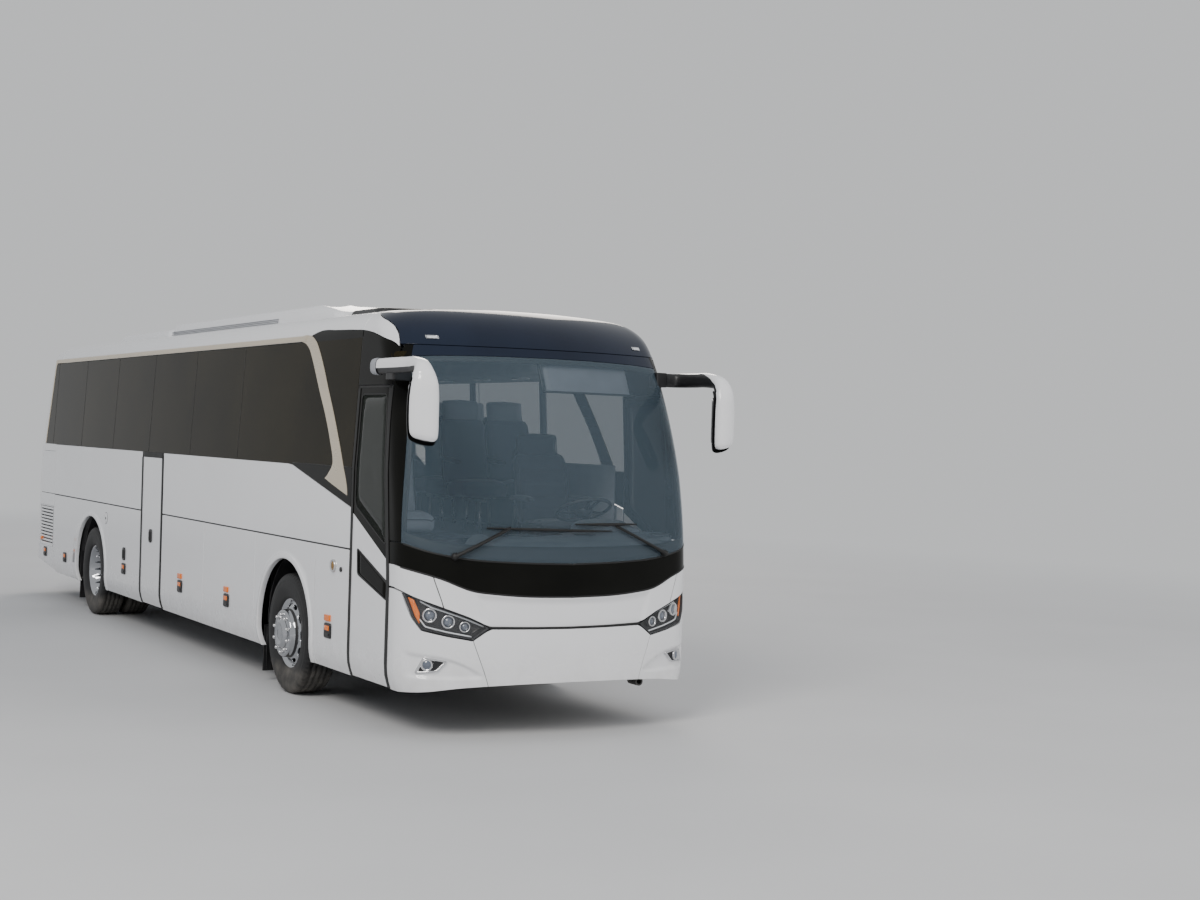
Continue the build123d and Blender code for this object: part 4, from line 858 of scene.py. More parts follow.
def oblong(low, high, radius, cells=6, steps=4):
    """The outline of a rectangle between two corners."""
    return outline([low, (high[0], low[1]), high, (low[0], high[1])], radius, cells, steps)


def scaled(line, scale, middle=None):
    """A closed outline drawn in towards its middle."""
    middle = line[:-1].mean(0) if middle is None else np.array(middle)
    return (line - middle) * scale + middle


def ring(outer, inner, place, rows=2):
    """A sheet between two closed outlines with the same number of points."""
    w = samples(rows)[None, :, None]
    grid = outer[:, None] * (1 - w) + inner[:, None] * w
    return place(grid[..., 0], grid[..., 1])


def fill(line, place, rows=4):
    """A sheet inside a closed outline: rings that shrink to its middle."""
    middle = np.broadcast_to(line[:-1].mean(0), line.shape)
    return ring(line, middle, place, rows)


def on_side(sign, lift=0.0):
    """Lays y and z on the skin of one side."""
    return lambda y, z: np.stack((sign * (side_x(y, z) + lift), y, z), -1)


def on_end(end, sign, depth=0.0):
    """Lays half width and height on the nose or the tail."""
    return lambda x, z: skin(end, sign * way_at(end, x, z), z, depth)


# %% Belt, skirt and flaps
WINDOW_Y, WINDOW_PITCH = -3.395, 1.5
window_line = bent([(-4.775, 1.686), (-3.40, 1.990), (-3.33, 1.999), (6.2, 2.0)])
FLAP_TOP = 1.3435
SIDE_FRONT, SIDE_REAR = -4.771, 5.4375
FLAPS = (
    ("right_service_flap", -1, -4.765, -4.010), ("right_luggage_flap_1", -1, -2.488, -0.953),
    ("right_luggage_flap_2", -1, -0.953, 0.510), ("right_rear_flap", -1, 1.328, 2.700),
    ("left_luggage_flap_1", 1, -2.488, -0.953), ("left_luggage_flap_2", 1, -0.953, 0.510),
)
ARCHES = ((-3.285, 0.545, 0.655, 0.620, -4.010, -2.488), (3.50, 0.545, 0.700, 0.625, 2.700, 5.4375))


def arch_sheet(sign, y_mid, z_mid, radius, height, y_low, y_high):
    """The panel over a wheel: rays from the arch's middle meet the panel's outline, and the lip swells out a
    little before it turns inwards."""
    side = math.asin((z_mid - SKIRT_Z) / height)
    corners = [math.atan2(FLAP_TOP - z_mid, y - y_mid) for y in (y_high - GAP, y_low + GAP)]
    angle = np.concatenate(
        (np.linspace(-side, 0, 6)[:-1], np.linspace(0, corners[0], 20)[:-1], np.linspace(*corners, 36)[:-1],
         np.linspace(corners[1], np.pi, 20)[:-1], np.linspace(np.pi, np.pi + side, 6))
    )
    cos, sin = np.cos(angle), np.sin(angle)
    edge_y = np.where(cos > 0, y_high - GAP - y_mid, y_low + GAP - y_mid)
    far = np.minimum(
        edge_y / np.where(np.abs(cos) < 1e-9, 1e-9, cos),
        np.where(sin > 1e-9, (FLAP_TOP - z_mid) / np.maximum(sin, 1e-9), 99)
    )
    below = sin < 0
    outer = np.stack(
        (
            np.where(below, edge_y, far * cos),
            np.where(below, (sin / math.sin(side)) * (z_mid - SKIRT_Z), far * sin)
        ), -1
    )
    inner = np.stack((radius * cos, height * sin), -1)
    rows = [outer + (inner * (1 + 0.055 / radius) - outer) * w for w in np.linspace(0, 1, 7)]
    lifts = [0.0] * 7
    for past, lift in (
        (0.052, 0.002), (0.047, 0.009), (0.030, 0.012), (0.010, 0.014), (0.002, 0.012), (-0.003, 0.004),
        (-0.004, -0.03)
    ):
        rows.append(inner * (1 + past / radius))
        lifts.append(lift)
    grid = np.stack(rows, 1) + (y_mid, z_mid)
    grid[..., 1] = np.maximum(grid[..., 1], SKIRT_Z)
    x = side_x(grid[..., 0], grid[..., 1]) + np.array(lifts)
    return np.stack((sign * x, grid[..., 0], grid[..., 1]), -1)


BELT_LOW = 1.3565
belt_top = moved(window_line, -0.004)
right_belts = [
    side_patch(
        -1, SIDE_FRONT, 0.5065, BELT_LOW, belt_top, [*np.linspace(0, 0.26, 12), *np.linspace(0.28, 1, 12)], 8
    ), side_patch(-1, 1.3315, SIDE_REAR, BELT_LOW, belt_top, 12, 8)
]
left_belts = [side_patch(1, SIDE_FRONT, SIDE_REAR, BELT_LOW, belt_top, 40, 8)]
right_skirts = [arch_sheet(-1, *arch) for arch in ARCHES]
left_skirts = [arch_sheet(1, *arch) for arch in ARCHES] + [
    side_patch(1, SIDE_FRONT, -4.010 - GAP, SKIRT_Z, FLAP_TOP, 8, 16),
    side_patch(1, 0.510 + GAP, 2.700 - GAP, SKIRT_Z, FLAP_TOP, 10, 16),
]
shell("right_side_skin", right_belts + right_skirts, WHITE, stands_for=["right_wall"])
shell("left_side_skin", left_belts + left_skirts, WHITE, stands_for=["left_wall"])
for flap_name, sign, y_from, y_to in FLAPS:
    flap_skin = side_patch(sign, y_from + GAP, y_to - GAP, SKIRT_Z, FLAP_TOP, 12, 18)
    shell(flap_name + "_skin", [flap_skin], WHITE, body=flap_name, stands_for=[flap_name])

# %% [markdown]
# ## Doors
# The front door is white below a slanting line and black around its panes above it.

# %% Doors
LEAF_LOW, LEAF_TOP, MIDDLE_TOP = 0.345, 2.640, 1.940
door_line = bent([(-5.60, 1.285), (-4.78, 1.662)])
door_y = {"front": lambda z: np.interp(z, [0.3, 1.15, 2.64], [-5.565, -5.565, -5.417]), "rear": -4.797}
DOOR_PANE = [(-4.865, 1.715), (-4.865, 2.585), (-5.360, 2.585), (-5.490, 1.435)]
LOW_PANE = [(-4.945, 1.360), (-4.960, 1.178), (-5.528, 1.022), (-5.533, 1.140)]


def door_frame(sign, body, prefix, leaf, stands_for):
    """White skin, black frame with its pane, and the seals of a front door or cab panel."""
    low_skin = side_patch(sign, door_y["front"], door_y["rear"], leaf[0], moved(door_line, -0.002), 12, 22)
    shell(prefix + "_skin", [low_skin], WHITE, body=body, stands_for=stands_for)
    top = leaf[1]
    rim = outline(
        [
            (-4.797, door_line(-4.797)), (-4.797, top), (float(door_y["front"](top)), top),
            (-5.565, door_line(-5.565))
        ], [0.004, 0.05, 0.05, 0.004]
    )
    pane_edge = outline(DOOR_PANE, 0.05)
    wide = outline(
        [(y + (0.012 if y > -5 else -0.012), z + (0.012 if z > 2 else -0.014)) for y, z in DOOR_PANE], 0.06
    )
    shell(prefix + "_frame", [ring(rim, wide, on_side(sign), 3)], BLACK, body=body)
    lips = ring(wide, pane_edge, on_side(sign, 0.002), 2)
    strip(prefix + "_pane_seal", [lips], RUBBER, body=body, slot="black_frame", wall=0.008, edge=0.002)
    return strip(prefix + "_pane", [fill(pane_edge, on_side(sign, -0.002))], CAB_GLASS, body=body, wall=0.006)


door_pane = door_frame(-1, "front_door_leaf", "front_door", (LEAF_LOW, LEAF_TOP), ["front_door"])
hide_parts("front_door_glass")
door_frame(1, "coach", "cab_panel", (0.338, 2.648), ["cab_panel"])
low_rim = outline(
    [
        (y + (0.016 if y > -5.2 else -0.016), z + (0.016 if i in (0, 3) else -0.016))
        for i, (y, z) in enumerate(LOW_PANE)
    ], 0.03
)
low_edge = outline(LOW_PANE, 0.022)
strip(
    "front_door_low_rim", [ring(low_rim, low_edge, on_side(-1, 0.004), 2)], RUBBER, body="front_door_leaf",
    slot="black_frame", wall=0.006, edge=0.002,
)
strip(
    "front_door_low_pane", [fill(low_edge, on_side(-1, 0.002))], BLACK, body="front_door_leaf",
    slot="dark_glass", wall=0.004
)
edge_seals = [
    side_patch(
        -1, lambda z: door_y["front"](z) - 0.026, lambda z: door_y["front"](z) + 0.026, LEAF_LOW, LEAF_TOP, 4,
        24, 0.0065
    ), side_patch(-1, -4.826, -4.784, LEAF_LOW, LEAF_TOP, 2, 24, 0.0065)
]
strip("front_door_seals", edge_seals, RUBBER, body="front_door_leaf", wall=0.005, edge=0.002)
edge_seals = [
    side_patch(-1, y - 0.022, y + 0.022, LEAF_LOW, MIDDLE_TOP, 2, 24, 0.0065) for y in (0.535, 1.303)
]
strip("middle_door_seals", edge_seals, RUBBER, body="middle_door_leaf", wall=0.005, edge=0.002)
middle_leaf = side_patch(-1, 0.530, 1.308, LEAF_LOW, MIDDLE_TOP, 12, 24)
shell("middle_door_skin", [middle_leaf], WHITE, body="middle_door_leaf", stands_for=["middle_door"])

# %% [markdown]
# ## The rear end
# The tail's skin goes round from the side to the back in one sweep, open for the grille, the lamps, the lid
# and the rear window. Its underside rises behind the wheels.

# %% Rear end
UPSWEEP = bent([(5.0, 0.335), (5.225, 0.335), (6.7, 0.514)])
GLASS_END = bent([(2.0, 6.005), (3.05, 5.785)])


def tail_way(y):
    """The way round the tail to a place y on its side."""
    return lambda z: reach(TAIL, z, y)


def tail_low(d):
    """The rising underside, as a function of the way round."""
    return UPSWEEP(skin(TAIL, d, 0.42 + 0 * d)[..., 1])


TAIL_Y, LID_X, LAMP_X, WINDOW_X = 5.4425, 0.858, 1.236, 0.968
GRILLE_LOW, LAMP_LOW, GRILLE_TOP, LAMP_TOP = 0.663, 0.896, 1.194, 1.658


def tail_x(x):
    """The way round the tail to a half width x, where z tells the height."""
    return lambda z: way_at(TAIL, x, z)


def beside_window(z):
    """The way round the tail to the rear edge of the side glass."""
    return reach(TAIL, z, GLASS_END(z) + 0.005)


quarter = patch(TAIL, tail_x(WINDOW_X), beside_window, 2.004, 2.926, 24, 16)
over_window = middle_patch(TAIL, tail_x(WINDOW_X), 2.858, 2.926, 24, 2)
under_window = middle_patch(TAIL, tail_x(WINDOW_X), 1.91, 2.112, 24, 4)
beside_gap = patch(TAIL, tail_x(WINDOW_X), tail_way(TAIL_Y), 1.91, 2.0, 30, 2)
waist = patch(TAIL, tail_x(LID_X), tail_way(TAIL_Y), LAMP_TOP, 1.906, 30, 4)
shoulder = patch(TAIL, tail_x(LAMP_X), tail_way(TAIL_Y), 1.3565, LAMP_TOP, 24, 4)
lamp_post = patch(TAIL, tail_x(LID_X), tail_x(0.955), LAMP_LOW, LAMP_TOP, 4, 8)
lamp_side = patch(TAIL, tail_x(LAMP_X), tail_way(TAIL_Y), GRILLE_TOP, 1.3495, 24, 3)
behind_grille = patch(TAIL, tail_x(LAMP_X), tail_way(6.235), LAMP_LOW, GRILLE_TOP, 12, 5)
before_grille = patch(TAIL, tail_way(5.475), tail_way(TAIL_Y), GRILLE_LOW, GRILLE_TOP, 2, 8)
low_band = patch(TAIL, tail_x(LID_X), tail_way(6.235), GRILLE_LOW, LAMP_LOW, 24, 4)
skirt_band = patch(TAIL, tail_x(LID_X), tail_way(TAIL_Y), tail_low, GRILLE_LOW, 36, 8)
apron = middle_patch(TAIL, tail_x(LID_X), tail_low, 0.694, 24, 6)
print("sides and rear panels ready")
shell(
    "tail_skin",
    [
        over_window, under_window, apron,
        *both(
            quarter, beside_gap, waist, shoulder, lamp_post, lamp_side, behind_grille, before_grille,
            low_band, skirt_band
        )
    ], WHITE, stands_for=["rear_panel"]
)
cap_low = patch(TAIL, 0.0, beside_window, 2.934, 3.062, 40, 4)
cap_high = patch(TAIL, 0.0, tail_way(TAIL_Y), 3.062, ROOF_Z - 1e-6, 44, TO_CROWN)
shell("rear_dome", both(cap_low, closed_crown(cap_high)), WHITE, stands_for=["rear_cap"])
lid = middle_patch(TAIL, tail_x(0.852), 0.702, 1.898, 28, 20)
shell("engine_lid_skin", [lid], WHITE, body="engine_lid", stands_for=["engine_lid"], edge=0.006)

# %% [markdown]
# ## Seals, mouldings and trims
# Rubber fills the wide gaps round the doors and lies deep in the narrow ones. A satin strip runs over the
# side glass and bends down into a blade before the front door.

# %% Seals and mouldings
def band(sign, y_low, y_high, low, high, lift=-0.0015, along=4, up=24):
    """A strip of the side, a little behind the skin or in front of it."""
    return side_patch(sign, y_low, y_high, low, high, along, up, lift)


UPPER_ARM_Z = 1.56


def at_arm(z):
    """A bell round the height of the front door's upper arm, where the seals make room for it:
    exp(-(dz / 40 mm)^2)."""
    return np.exp(-(((z - UPPER_ARM_Z) / 0.04) ** 2))


seals = [
    band(-1, -4.800, -4.772, SKIRT_Z, 2.66), band(-1, 0.506, 0.533, SKIRT_Z, 1.97),
    band(-1, 1.305, 1.332, SKIRT_Z, 1.97)
]
seals.append(band(-1, 0.506, 1.332, 1.937, 1.9975, along=8, up=3))
seals.append(
    side_patch(
        -1, lambda z: door_y["front"](z) - 0.024, lambda z: door_y["front"](z) + 0.003 - 0.018 * at_arm(z),
        SKIRT_Z, 2.66, 2, 96, -0.002
    )
)
seals.append(side_patch(-1, lambda z: door_y["front"](z) - 0.02, -4.775, 2.636, 2.660, 10, 2, -0.002))
seals.append(side_patch(1, lambda z: door_y["front"](z) - 0.02, -4.770, 2.636, 2.672, 10, 2, -0.004))
for sign in (-1, 1):
    seals.append(band(sign, -4.772, 0.510 if sign < 0 else 5.44, 1.340, 1.360, -0.004, 40, 2))
    for y in (-4.010, -2.488, -0.953, 0.510, 2.700, 5.440):
        seals.append(band(sign, y - 0.008, y + 0.008, SKIRT_Z, 1.35, -0.006, 2, 20))
seals.append(band(-1, 1.330, 5.44, 1.340, 1.360, -0.004, 20, 2))
seals.append(band(1, -4.79, -4.766, SKIRT_Z, 2.66, -0.008))
strip("body_seals", seals, RUBBER, wall=0.004)

seam_lines = []
for line, low, high in ((cheek_seam, 1.0, 1.22), (bumper_seam, 0.40, 0.76)):
    z = np.linspace(low, high, 12)
    seam_lines.append(tube(skin(NOSE, line(z), z, 0.010), 0.0065, 8))
for line, edge_x in ((moved(black_low, -0.001), 1.26), (mask_low, 0.66), (screen_low, 1.25)):
    d = np.linspace(0, float(way_at(NOSE, edge_x, 1.2)), 40)
    seam_lines.append(tube(skin(NOSE, d, line(d) - 0.002, 0.006), 0.0095, 8))
z = np.linspace(0.42, 2.64, 112)
cab_edge = tube(skin(NOSE, door_front(z) - 0.006 * at_arm(z), z, 0.012), 0.0075 - 0.003 * at_arm(z), 8)
dark_seams = [sheet for line in seam_lines for sheet in line]
piece("nose_seals", both(*dark_seams, *cab_edge), RUBBER)

# %% Strip, blade and wedge
OUTER = [
    (5.775, 3.105), (2.7, 3.105), (-0.3, 3.105), (-3.25, 3.105), (-3.45, 3.108), (-3.595, 3.102),
    (-3.695, 3.072), (-3.799, 3.005), (-3.954, 2.842), (-4.124, 2.63), (-4.295, 2.422), (-4.44, 2.228),
    (-4.591, 2.010), (-4.677, 1.849), (-4.693, 1.776)
]
INNER = [
    (5.775, 3.058), (2.7, 3.058), (-0.3, 3.058), (-3.25, 3.058), (-3.396, 3.054), (-3.493, 3.036),
    (-3.560, 3.006), (-3.618, 2.967), (-3.730, 2.847), (-3.910, 2.632), (-4.098, 2.421), (-4.250, 2.215),
    (-4.350, 2.035), (-4.262, 1.940), (-4.186, 1.898)
]
place = np.linspace(0, 14, 15)
t = np.concatenate((np.linspace(0, 3, 31), np.linspace(3.06, 14, 120)))
front_y, front_z, rear_y, rear_z = (
    smooth_line(list(zip(place, column)))(t) for edge_line in (OUTER, INNER) for column in zip(*edge_line)
)
w = np.linspace(0, 1, 9)[None]
swell = 0.004 + 0.004 * np.sin(np.pi * w)
blade_y, blade_z = (
    front_y[:, None] * (1 - w) + rear_y[:, None] * w, front_z[:, None] * (1 - w) + rear_z[:, None] * w
)
blade = np.stack((side_x(blade_y, blade_z) + swell, blade_y, blade_z), -1)
strip(
    "satin_trims", both(blade), SATIN, stands_for=["blade_trims"],
    wall=0.005, edge=0.002,
)
trim_z = np.linspace(2.01, 3.095, 30)
trim_low = GLASS_END(trim_z) - 0.012 - 0.10 * np.clip((trim_z - 2.97) / 0.125, 0, 1) ** 3
trim_rows = [trim_low + (GLASS_END(trim_z) + 0.034 - trim_low) * w for w in np.linspace(0, 1, 5)]
rear_ribbon = np.stack(
    [
        np.stack((side_x(y, trim_z) + lift, y, trim_z), -1)
        for y, lift in zip(trim_rows, (0.003, 0.005, 0.006, 0.005, 0.003))
    ], 1
)
strip("rear_glass_trims", both(rear_ribbon), SATIN, wall=0.005, edge=0.002)
wedge = side_patch(1, -4.768, -3.40, moved(window_line, 0.002), 2.001, 24, 4, 0.0015)
over_door = side_patch(
    1, lambda z: door_y["front"](np.minimum(z, 2.64)) + (z - 2.64) * 0.1, -4.781, 2.664,
    moved(cheek_bottom, -0.004), 14, 8, 0.0015
)
over_pane = side_patch(1, -4.768, -3.36, 3.046, moved(roof_low, -0.0035), 40, 4, 0.0005)
strip(
    "black_corner_panels", both(wedge, over_door, over_pane), BLACK, slot="dark_glass", wall=0.006, edge=0.002
)
pane_joints = []
for y in (-4.775, *(WINDOW_Y + WINDOW_PITCH * np.arange(1, 7))):
    joint = band(1, y - 0.005, y + 0.005, 2.003, 3.054, 0.0012, 1, 8)
    pane_joints.append(joint)
pane_joints.append(band(1, -4.77, -3.40, 2.000, 2.009, 0.0025, 10, 1))
strip("pane_joints", both(*pane_joints), RUBBER, wall=0.002)

# %% Louvres in the tail's flanks
louvres = []
for z_mid in 0.6915 + 0.0425 * np.arange(12):
    y, row = np.meshgrid(np.linspace(5.49, 6.222, 12), np.arange(4), indexing="ij")
    z = z_mid + np.array([-0.016, -0.006, 0.008, 0.016])[row]
    x = side_x(y, z) + np.array([-0.002, 0.001, -0.008, -0.026])[row]
    louvres.append(np.stack((x, y, z), -1))
strip("louvres", both(*louvres), WHITE, wall=0.003)
louvre_edge = oblong((5.475, 0.665), (6.236, 1.192), 0.012)
louvre_hole = oblong((5.488, 0.678), (6.223, 1.179), 0.010)
frame_sheet = np.concatenate(
    (
        ring(louvre_edge, louvre_hole, on_side(1, 0.002), 2),
        ring(louvre_hole, louvre_hole, on_side(1, -0.03), 1)[:, :1]
    ), 1
)
strip("louvre_frames", both(frame_sheet), WHITE)
dark_box = side_patch(1, 5.47, 6.24, 0.66, 1.20, 12, 4, -0.035)
strip("louvre_backs", both(dark_box), TRIM, wall=0.004)

# %% [markdown]
# ## Small parts of the sides
# Each flap has an orange reflector over a black latch with an orange button. There are a filler cap, a round
# lock, and the handles of the middle door and the rear flap.

# %% Latches, reflectors and handles
def rounded_block(y, z, half_y, half_z, depth, radius, sign=-1, rows=(0.0, 0.55, 0.9, 1.0)):
    """A low block on the side with round corners and a crowned face."""
    edge = oblong((y - half_y, z - half_z), (y + half_y, z + half_z), radius, 3, 3)
    inner_edge = scaled(edge, 1 - 0.25 * radius / half_y, (y, z))
    sides = np.stack(
        [
            on_side(sign, lift)(*line.T)
            for lift, line in ((-0.012, edge), (depth * 0.7, edge), (depth, inner_edge))
        ], 1
    )
    return [sides, fill(inner_edge, on_side(sign, depth), 3)]


LATCHES = (
    ("right_luggage_flap_1", -1.700, 0.752, -1.710, 0.652),
    ("right_luggage_flap_2", -0.190, 0.752, -0.200, 0.652),
    ("right_service_flap", -4.345, 0.755, -4.352, 0.655), ("right_rear_flap", None, None, 1.976, 0.659),
    ("coach", None, None, 4.780, 0.580), ("coach", None, None, 5.871, 0.580)
)
LATCH_BLOCKS = (
    ("latches", TRIM, -0.004, (0.074, 0.062, 0.012, 0.020)),
    ("latch_buttons", AMBER, 0.018, (0.046, 0.020, 0.019, 0.005)),
    ("latch_pulls", TRIM, -0.032, (0.052, 0.014, 0.018, 0.006))
)
side_parts = {}


def add_part(name, paint, body, sheets):
    """Adds sheets to the object of one finish on one body."""
    side_parts.setdefault((body + "_" + name, paint, body), []).extend(sheets)


for body, mark_y, mark_z, latch_y, latch_z in LATCHES:
    for sign in (-1, 1):
        owner = body if sign < 0 else body.replace("right", "left")
        if owner not in frame["bodies"]:
            owner = "coach"
        if sign > 0 and owner == "coach" and "luggage" in body:
            continue
        if mark_y is not None:
            add_part(
                "reflectors", AMBER, owner, rounded_block(mark_y, mark_z, 0.060, 0.026, 0.014, 0.006, sign)
            )
        for name, paint, rise, sizes in LATCH_BLOCKS:
            add_part(name, paint, owner, rounded_block(latch_y, latch_z + rise, *sizes, sign))
for body, y, z in (("right_rear_flap", 1.982, 0.823), ("middle_door_leaf", 0.930, 1.093)):
    add_part("latches", TRIM, body, rounded_block(y, z, 0.052, 0.072, 0.012, 0.028))
    add_part("latch_pulls", RUBBER, body, rounded_block(y, z, 0.022, 0.050, 0.020, 0.012))


def side_disc(y, z, profile, sign=-1, sides=32):
    """A round part on the side: its profile is lift and radius."""
    return spun(
        [(sign * lift, radius) for lift, radius in profile], sides, "x", (sign * float(side_x(y, z)), y, z)
    )


FILLER, FILLER_LOCK, ROUNDEL, LOCK = (2.816, 1.182), (2.806, 1.182), (-4.439, 1.192), (-4.605, 1.173)
DISCS = (
    ("filler", WHITE, "coach", FILLER, [(-0.01, 0.062), (0.003, 0.062), (0.005, 0.058), (0.005, 0.0)]),
    ("filler_ring", RUBBER, "coach", FILLER, [(-0.004, 0.067), (0.0015, 0.067), (0.0015, 0.0625)]),
    ("roundel", CHROME, "right_service_flap", ROUNDEL,
     [(-0.01, 0.054), (0.012, 0.054), (0.018, 0.048), (0.016, 0.041), (0.008, 0.038), (0.008, 0.0)]),
    ("roundel_face", BRASS, "right_service_flap", ROUNDEL,
     [(0.007, 0.0385), (0.0105, 0.037), (0.0125, 0.028), (0.0105, 0.018), (0.0150, 0.012), (0.0160, 0.0)]),
    ("filler_lock", TRIM, "coach", FILLER_LOCK,
     [(-0.01, 0.015), (0.008, 0.015), (0.009, 0.012), (0.006, 0.008), (0.006, 0.0)]),
    ("lock", TRIM, "right_service_flap", LOCK,
     [(-0.01, 0.020), (0.010, 0.020), (0.012, 0.015), (0.007, 0.011), (0.007, 0.0)]),
)
for name, paint, body, (y, z), profile in DISCS:
    add_part(name, paint, body, side_disc(y, z, profile))
add_part("tail_marker", AMBER, "coach", rounded_block(6.10, 0.745, 0.030, 0.022, 0.016, 0.006))
for (name, paint, body), sheets in side_parts.items():
    piece(name, sheets, paint, body=body)

# %% [markdown]
# ## Lamps
# The head lamps are open boxes behind a clear cover. In each are three projectors, light guides under and
# over them, and an amber strip at the outer end.

# %% Head lamps
def facing(sheets, place, normal):
    """Sheets made about the z axis at the origin, turned so that z points along the normal, and moved."""
    turn_to = np.array(Vector((0, 0, 1)).rotation_difference(Vector(normal)).to_matrix())
    return [sheet @ turn_to.T + np.asarray(place) for sheet in sheets]


def nose_normal(x, z, sign):
    """The direction square to the nose at a place."""
    d = float(way_at(NOSE, x, z))
    centre_point, side_point, high_point = (
        skin(NOSE, sign * a, b) for a, b in ((d, z), (d + 0.01, z), (d, z + 0.01))
    )
    normal = np.cross(side_point - centre_point, high_point - centre_point) * -sign
    return normal / np.linalg.norm(normal) * (-1 if normal[1] > 0 else 1)


LAMP = [
    (0.662, 0.841), (0.784, 0.752), (0.97, 0.785), (1.150, 0.827), (1.207, 0.920), (1.2555, 1.096),
    (1.09, 1.016), (0.826, 0.919)
]
lamp_edge = outline(LAMP, 0.008, 6, 3)
PROJECTORS = ((1.100, 0.930, 0.050), (0.962, 0.884, 0.047), (0.840, 0.846, 0.038))


def rings_on(end, sign, line, rows, middle=None):
    """A sheet of rings on the nose or the tail: each is the line at a scale, at a depth behind the skin."""
    return np.stack([on_end(end, sign, depth)(*scaled(line, scale, middle).T) for scale, depth in rows], 1)


for sign, side_name in ((-1, "right"), (1, "left")):
    walls = rings_on(NOSE, sign, lamp_edge, ((1.0, 0.004), (0.985, 0.030), (0.90, 0.075), (0.86, 0.085)))
    bowl = [walls, fill(scaled(lamp_edge, 0.86), on_end(NOSE, sign, 0.085), 4)]
    heart = skin(NOSE, sign * 0.95, 0.87, -0.5)
    piece(side_name + "_lamp_bowl", bowl, TRIM, slot="lamp_glass", heart=heart)
    rim_sheets = [ring(lamp_edge, scaled(lamp_edge, 0.955), on_end(NOSE, sign, 0.006), 2)]
    strip(side_name + "_lamp_rim", rim_sheets, TRIM, wall=0.012, edge=0.002)
    chrome, glass, guides = [], [], []
    for x, z, radius in PROJECTORS:
        normal = nose_normal(x, z, sign)
        seat_place = skin(NOSE, sign * float(way_at(NOSE, x, z)), z, 0.082)
        barrel = [
            (0.0, radius * 1.15), (0.036, radius * 1.15), (0.048, radius * 1.02), (0.044, radius * 0.84),
            (0.010, radius * 0.76)
        ]
        chrome += facing(spun(barrel, 40, "z"), seat_place, normal)
        dome_profile = [
            (0.012 + 0.030 * math.cos(a), radius * 0.78 * math.sin(a)) for a in np.linspace(0, np.pi / 2, 10)
        ]
        glass += facing(spun(dome_profile, 40, "z"), seat_place, normal)
    piece(side_name + "_projector_rings", chrome, CHROME)
    piece(side_name + "_projector_lenses", glass, PROJECTOR)
    for line in (
        [(0.70, 0.850), (0.83, 0.905), (0.98, 0.957), (1.09, 0.993), (1.17, 1.035)],
        [(0.79, 0.772), (0.97, 0.806), (1.13, 0.845), (1.17, 0.90)]
    ):
        x, z = np.array(
            [
                np.interp(np.linspace(0, 1, 24), np.linspace(0, 1, len(line)), column)
                for column in np.array(line).T
            ]
        )
        guides += tube(skin(NOSE, sign * way_at(NOSE, x, z), z, 0.040), 0.0065, 8)
    piece(side_name + "_light_guides", guides, LIGHT_LENS)
    amber_edge = outline(
        [(1.168, 0.865), (1.196, 0.925), (1.236, 1.062), (1.205, 1.045), (1.168, 0.945)], 0.006, 6, 3
    )
    strip(side_name + "_turn_lamp", [fill(amber_edge, on_end(NOSE, sign, 0.024), 3)], AMBER, wall=0.012)
    cover = strip(side_name + "_lamp_cover", [fill(lamp_edge, on_end(NOSE, sign, 0.001), 6)], CLEAR)
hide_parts("head_lamps")

# %% Fog lamps and markers
FOG = [(1.182, 0.502), (1.134, 0.616), (0.968, 0.590), (1.040, 0.516)]
FOG_PLACE = (1.108, 0.562)
fog_outer = outline(FOG, 0.012, 5, 3)
fog_parts = {"rims": [], "bowls": [], "rings": [], "lenses": []}
for sign in (-1, 1):
    rim_rows = ((1.06, 0.024), (1.04, 0.004), (0.98, -0.002), (0.84, 0.002), (0.78, 0.016))
    bowl_rows = ((0.82, 0.0165), (0.6, 0.0160), (0.3, 0.0158), (0.0, 0.0158))
    fog_parts["rims"].append(rings_on(NOSE, sign, fog_outer, rim_rows))
    fog_parts["bowls"].append(rings_on(NOSE, sign, fog_outer, bowl_rows))
    place = skin(NOSE, sign * float(way_at(NOSE, *FOG_PLACE)), FOG_PLACE[1], 0.018)
    normal = nose_normal(*FOG_PLACE, sign)
    fog_parts["rings"] += facing(
        spun([(0.0, 0.047), (0.014, 0.046), (0.018, 0.040), (0.006, 0.031)], 32, "z"), place, normal
    )
    fog_parts["lenses"] += facing(
        spun([(0.006, 0.032), (0.010, 0.027), (0.013, 0.015), (0.014, 0.0)], 32, "z"), place, normal
    )
for name, paint in (("rims", CHROME), ("bowls", TRIM), ("rings", CHROME), ("lenses", PROJECTOR)):
    piece("fog_lamp_" + name, fog_parts[name], paint, heart=(0, -2, 0.6))
marker_edge = oblong((0.872, 3.030), (0.968, 3.060), 0.009, 3, 3)
marker_small = scaled(marker_edge, (0.78, 0.6))
for name, line, depth, paint in (
    ("housings", marker_edge, -0.004, CHROME), ("lenses", marker_small, -0.008, LIGHT_LENS)
):
    sheets = []
    for sign in (-1, 1):
        sheets += [
            np.stack((on_end(NOSE, sign, 0.004)(*line.T), on_end(NOSE, sign, depth)(*line.T)), 1),
            fill(line, on_end(NOSE, sign, depth), 2)
        ]
    strip("roof_marker_" + name, sheets, paint)

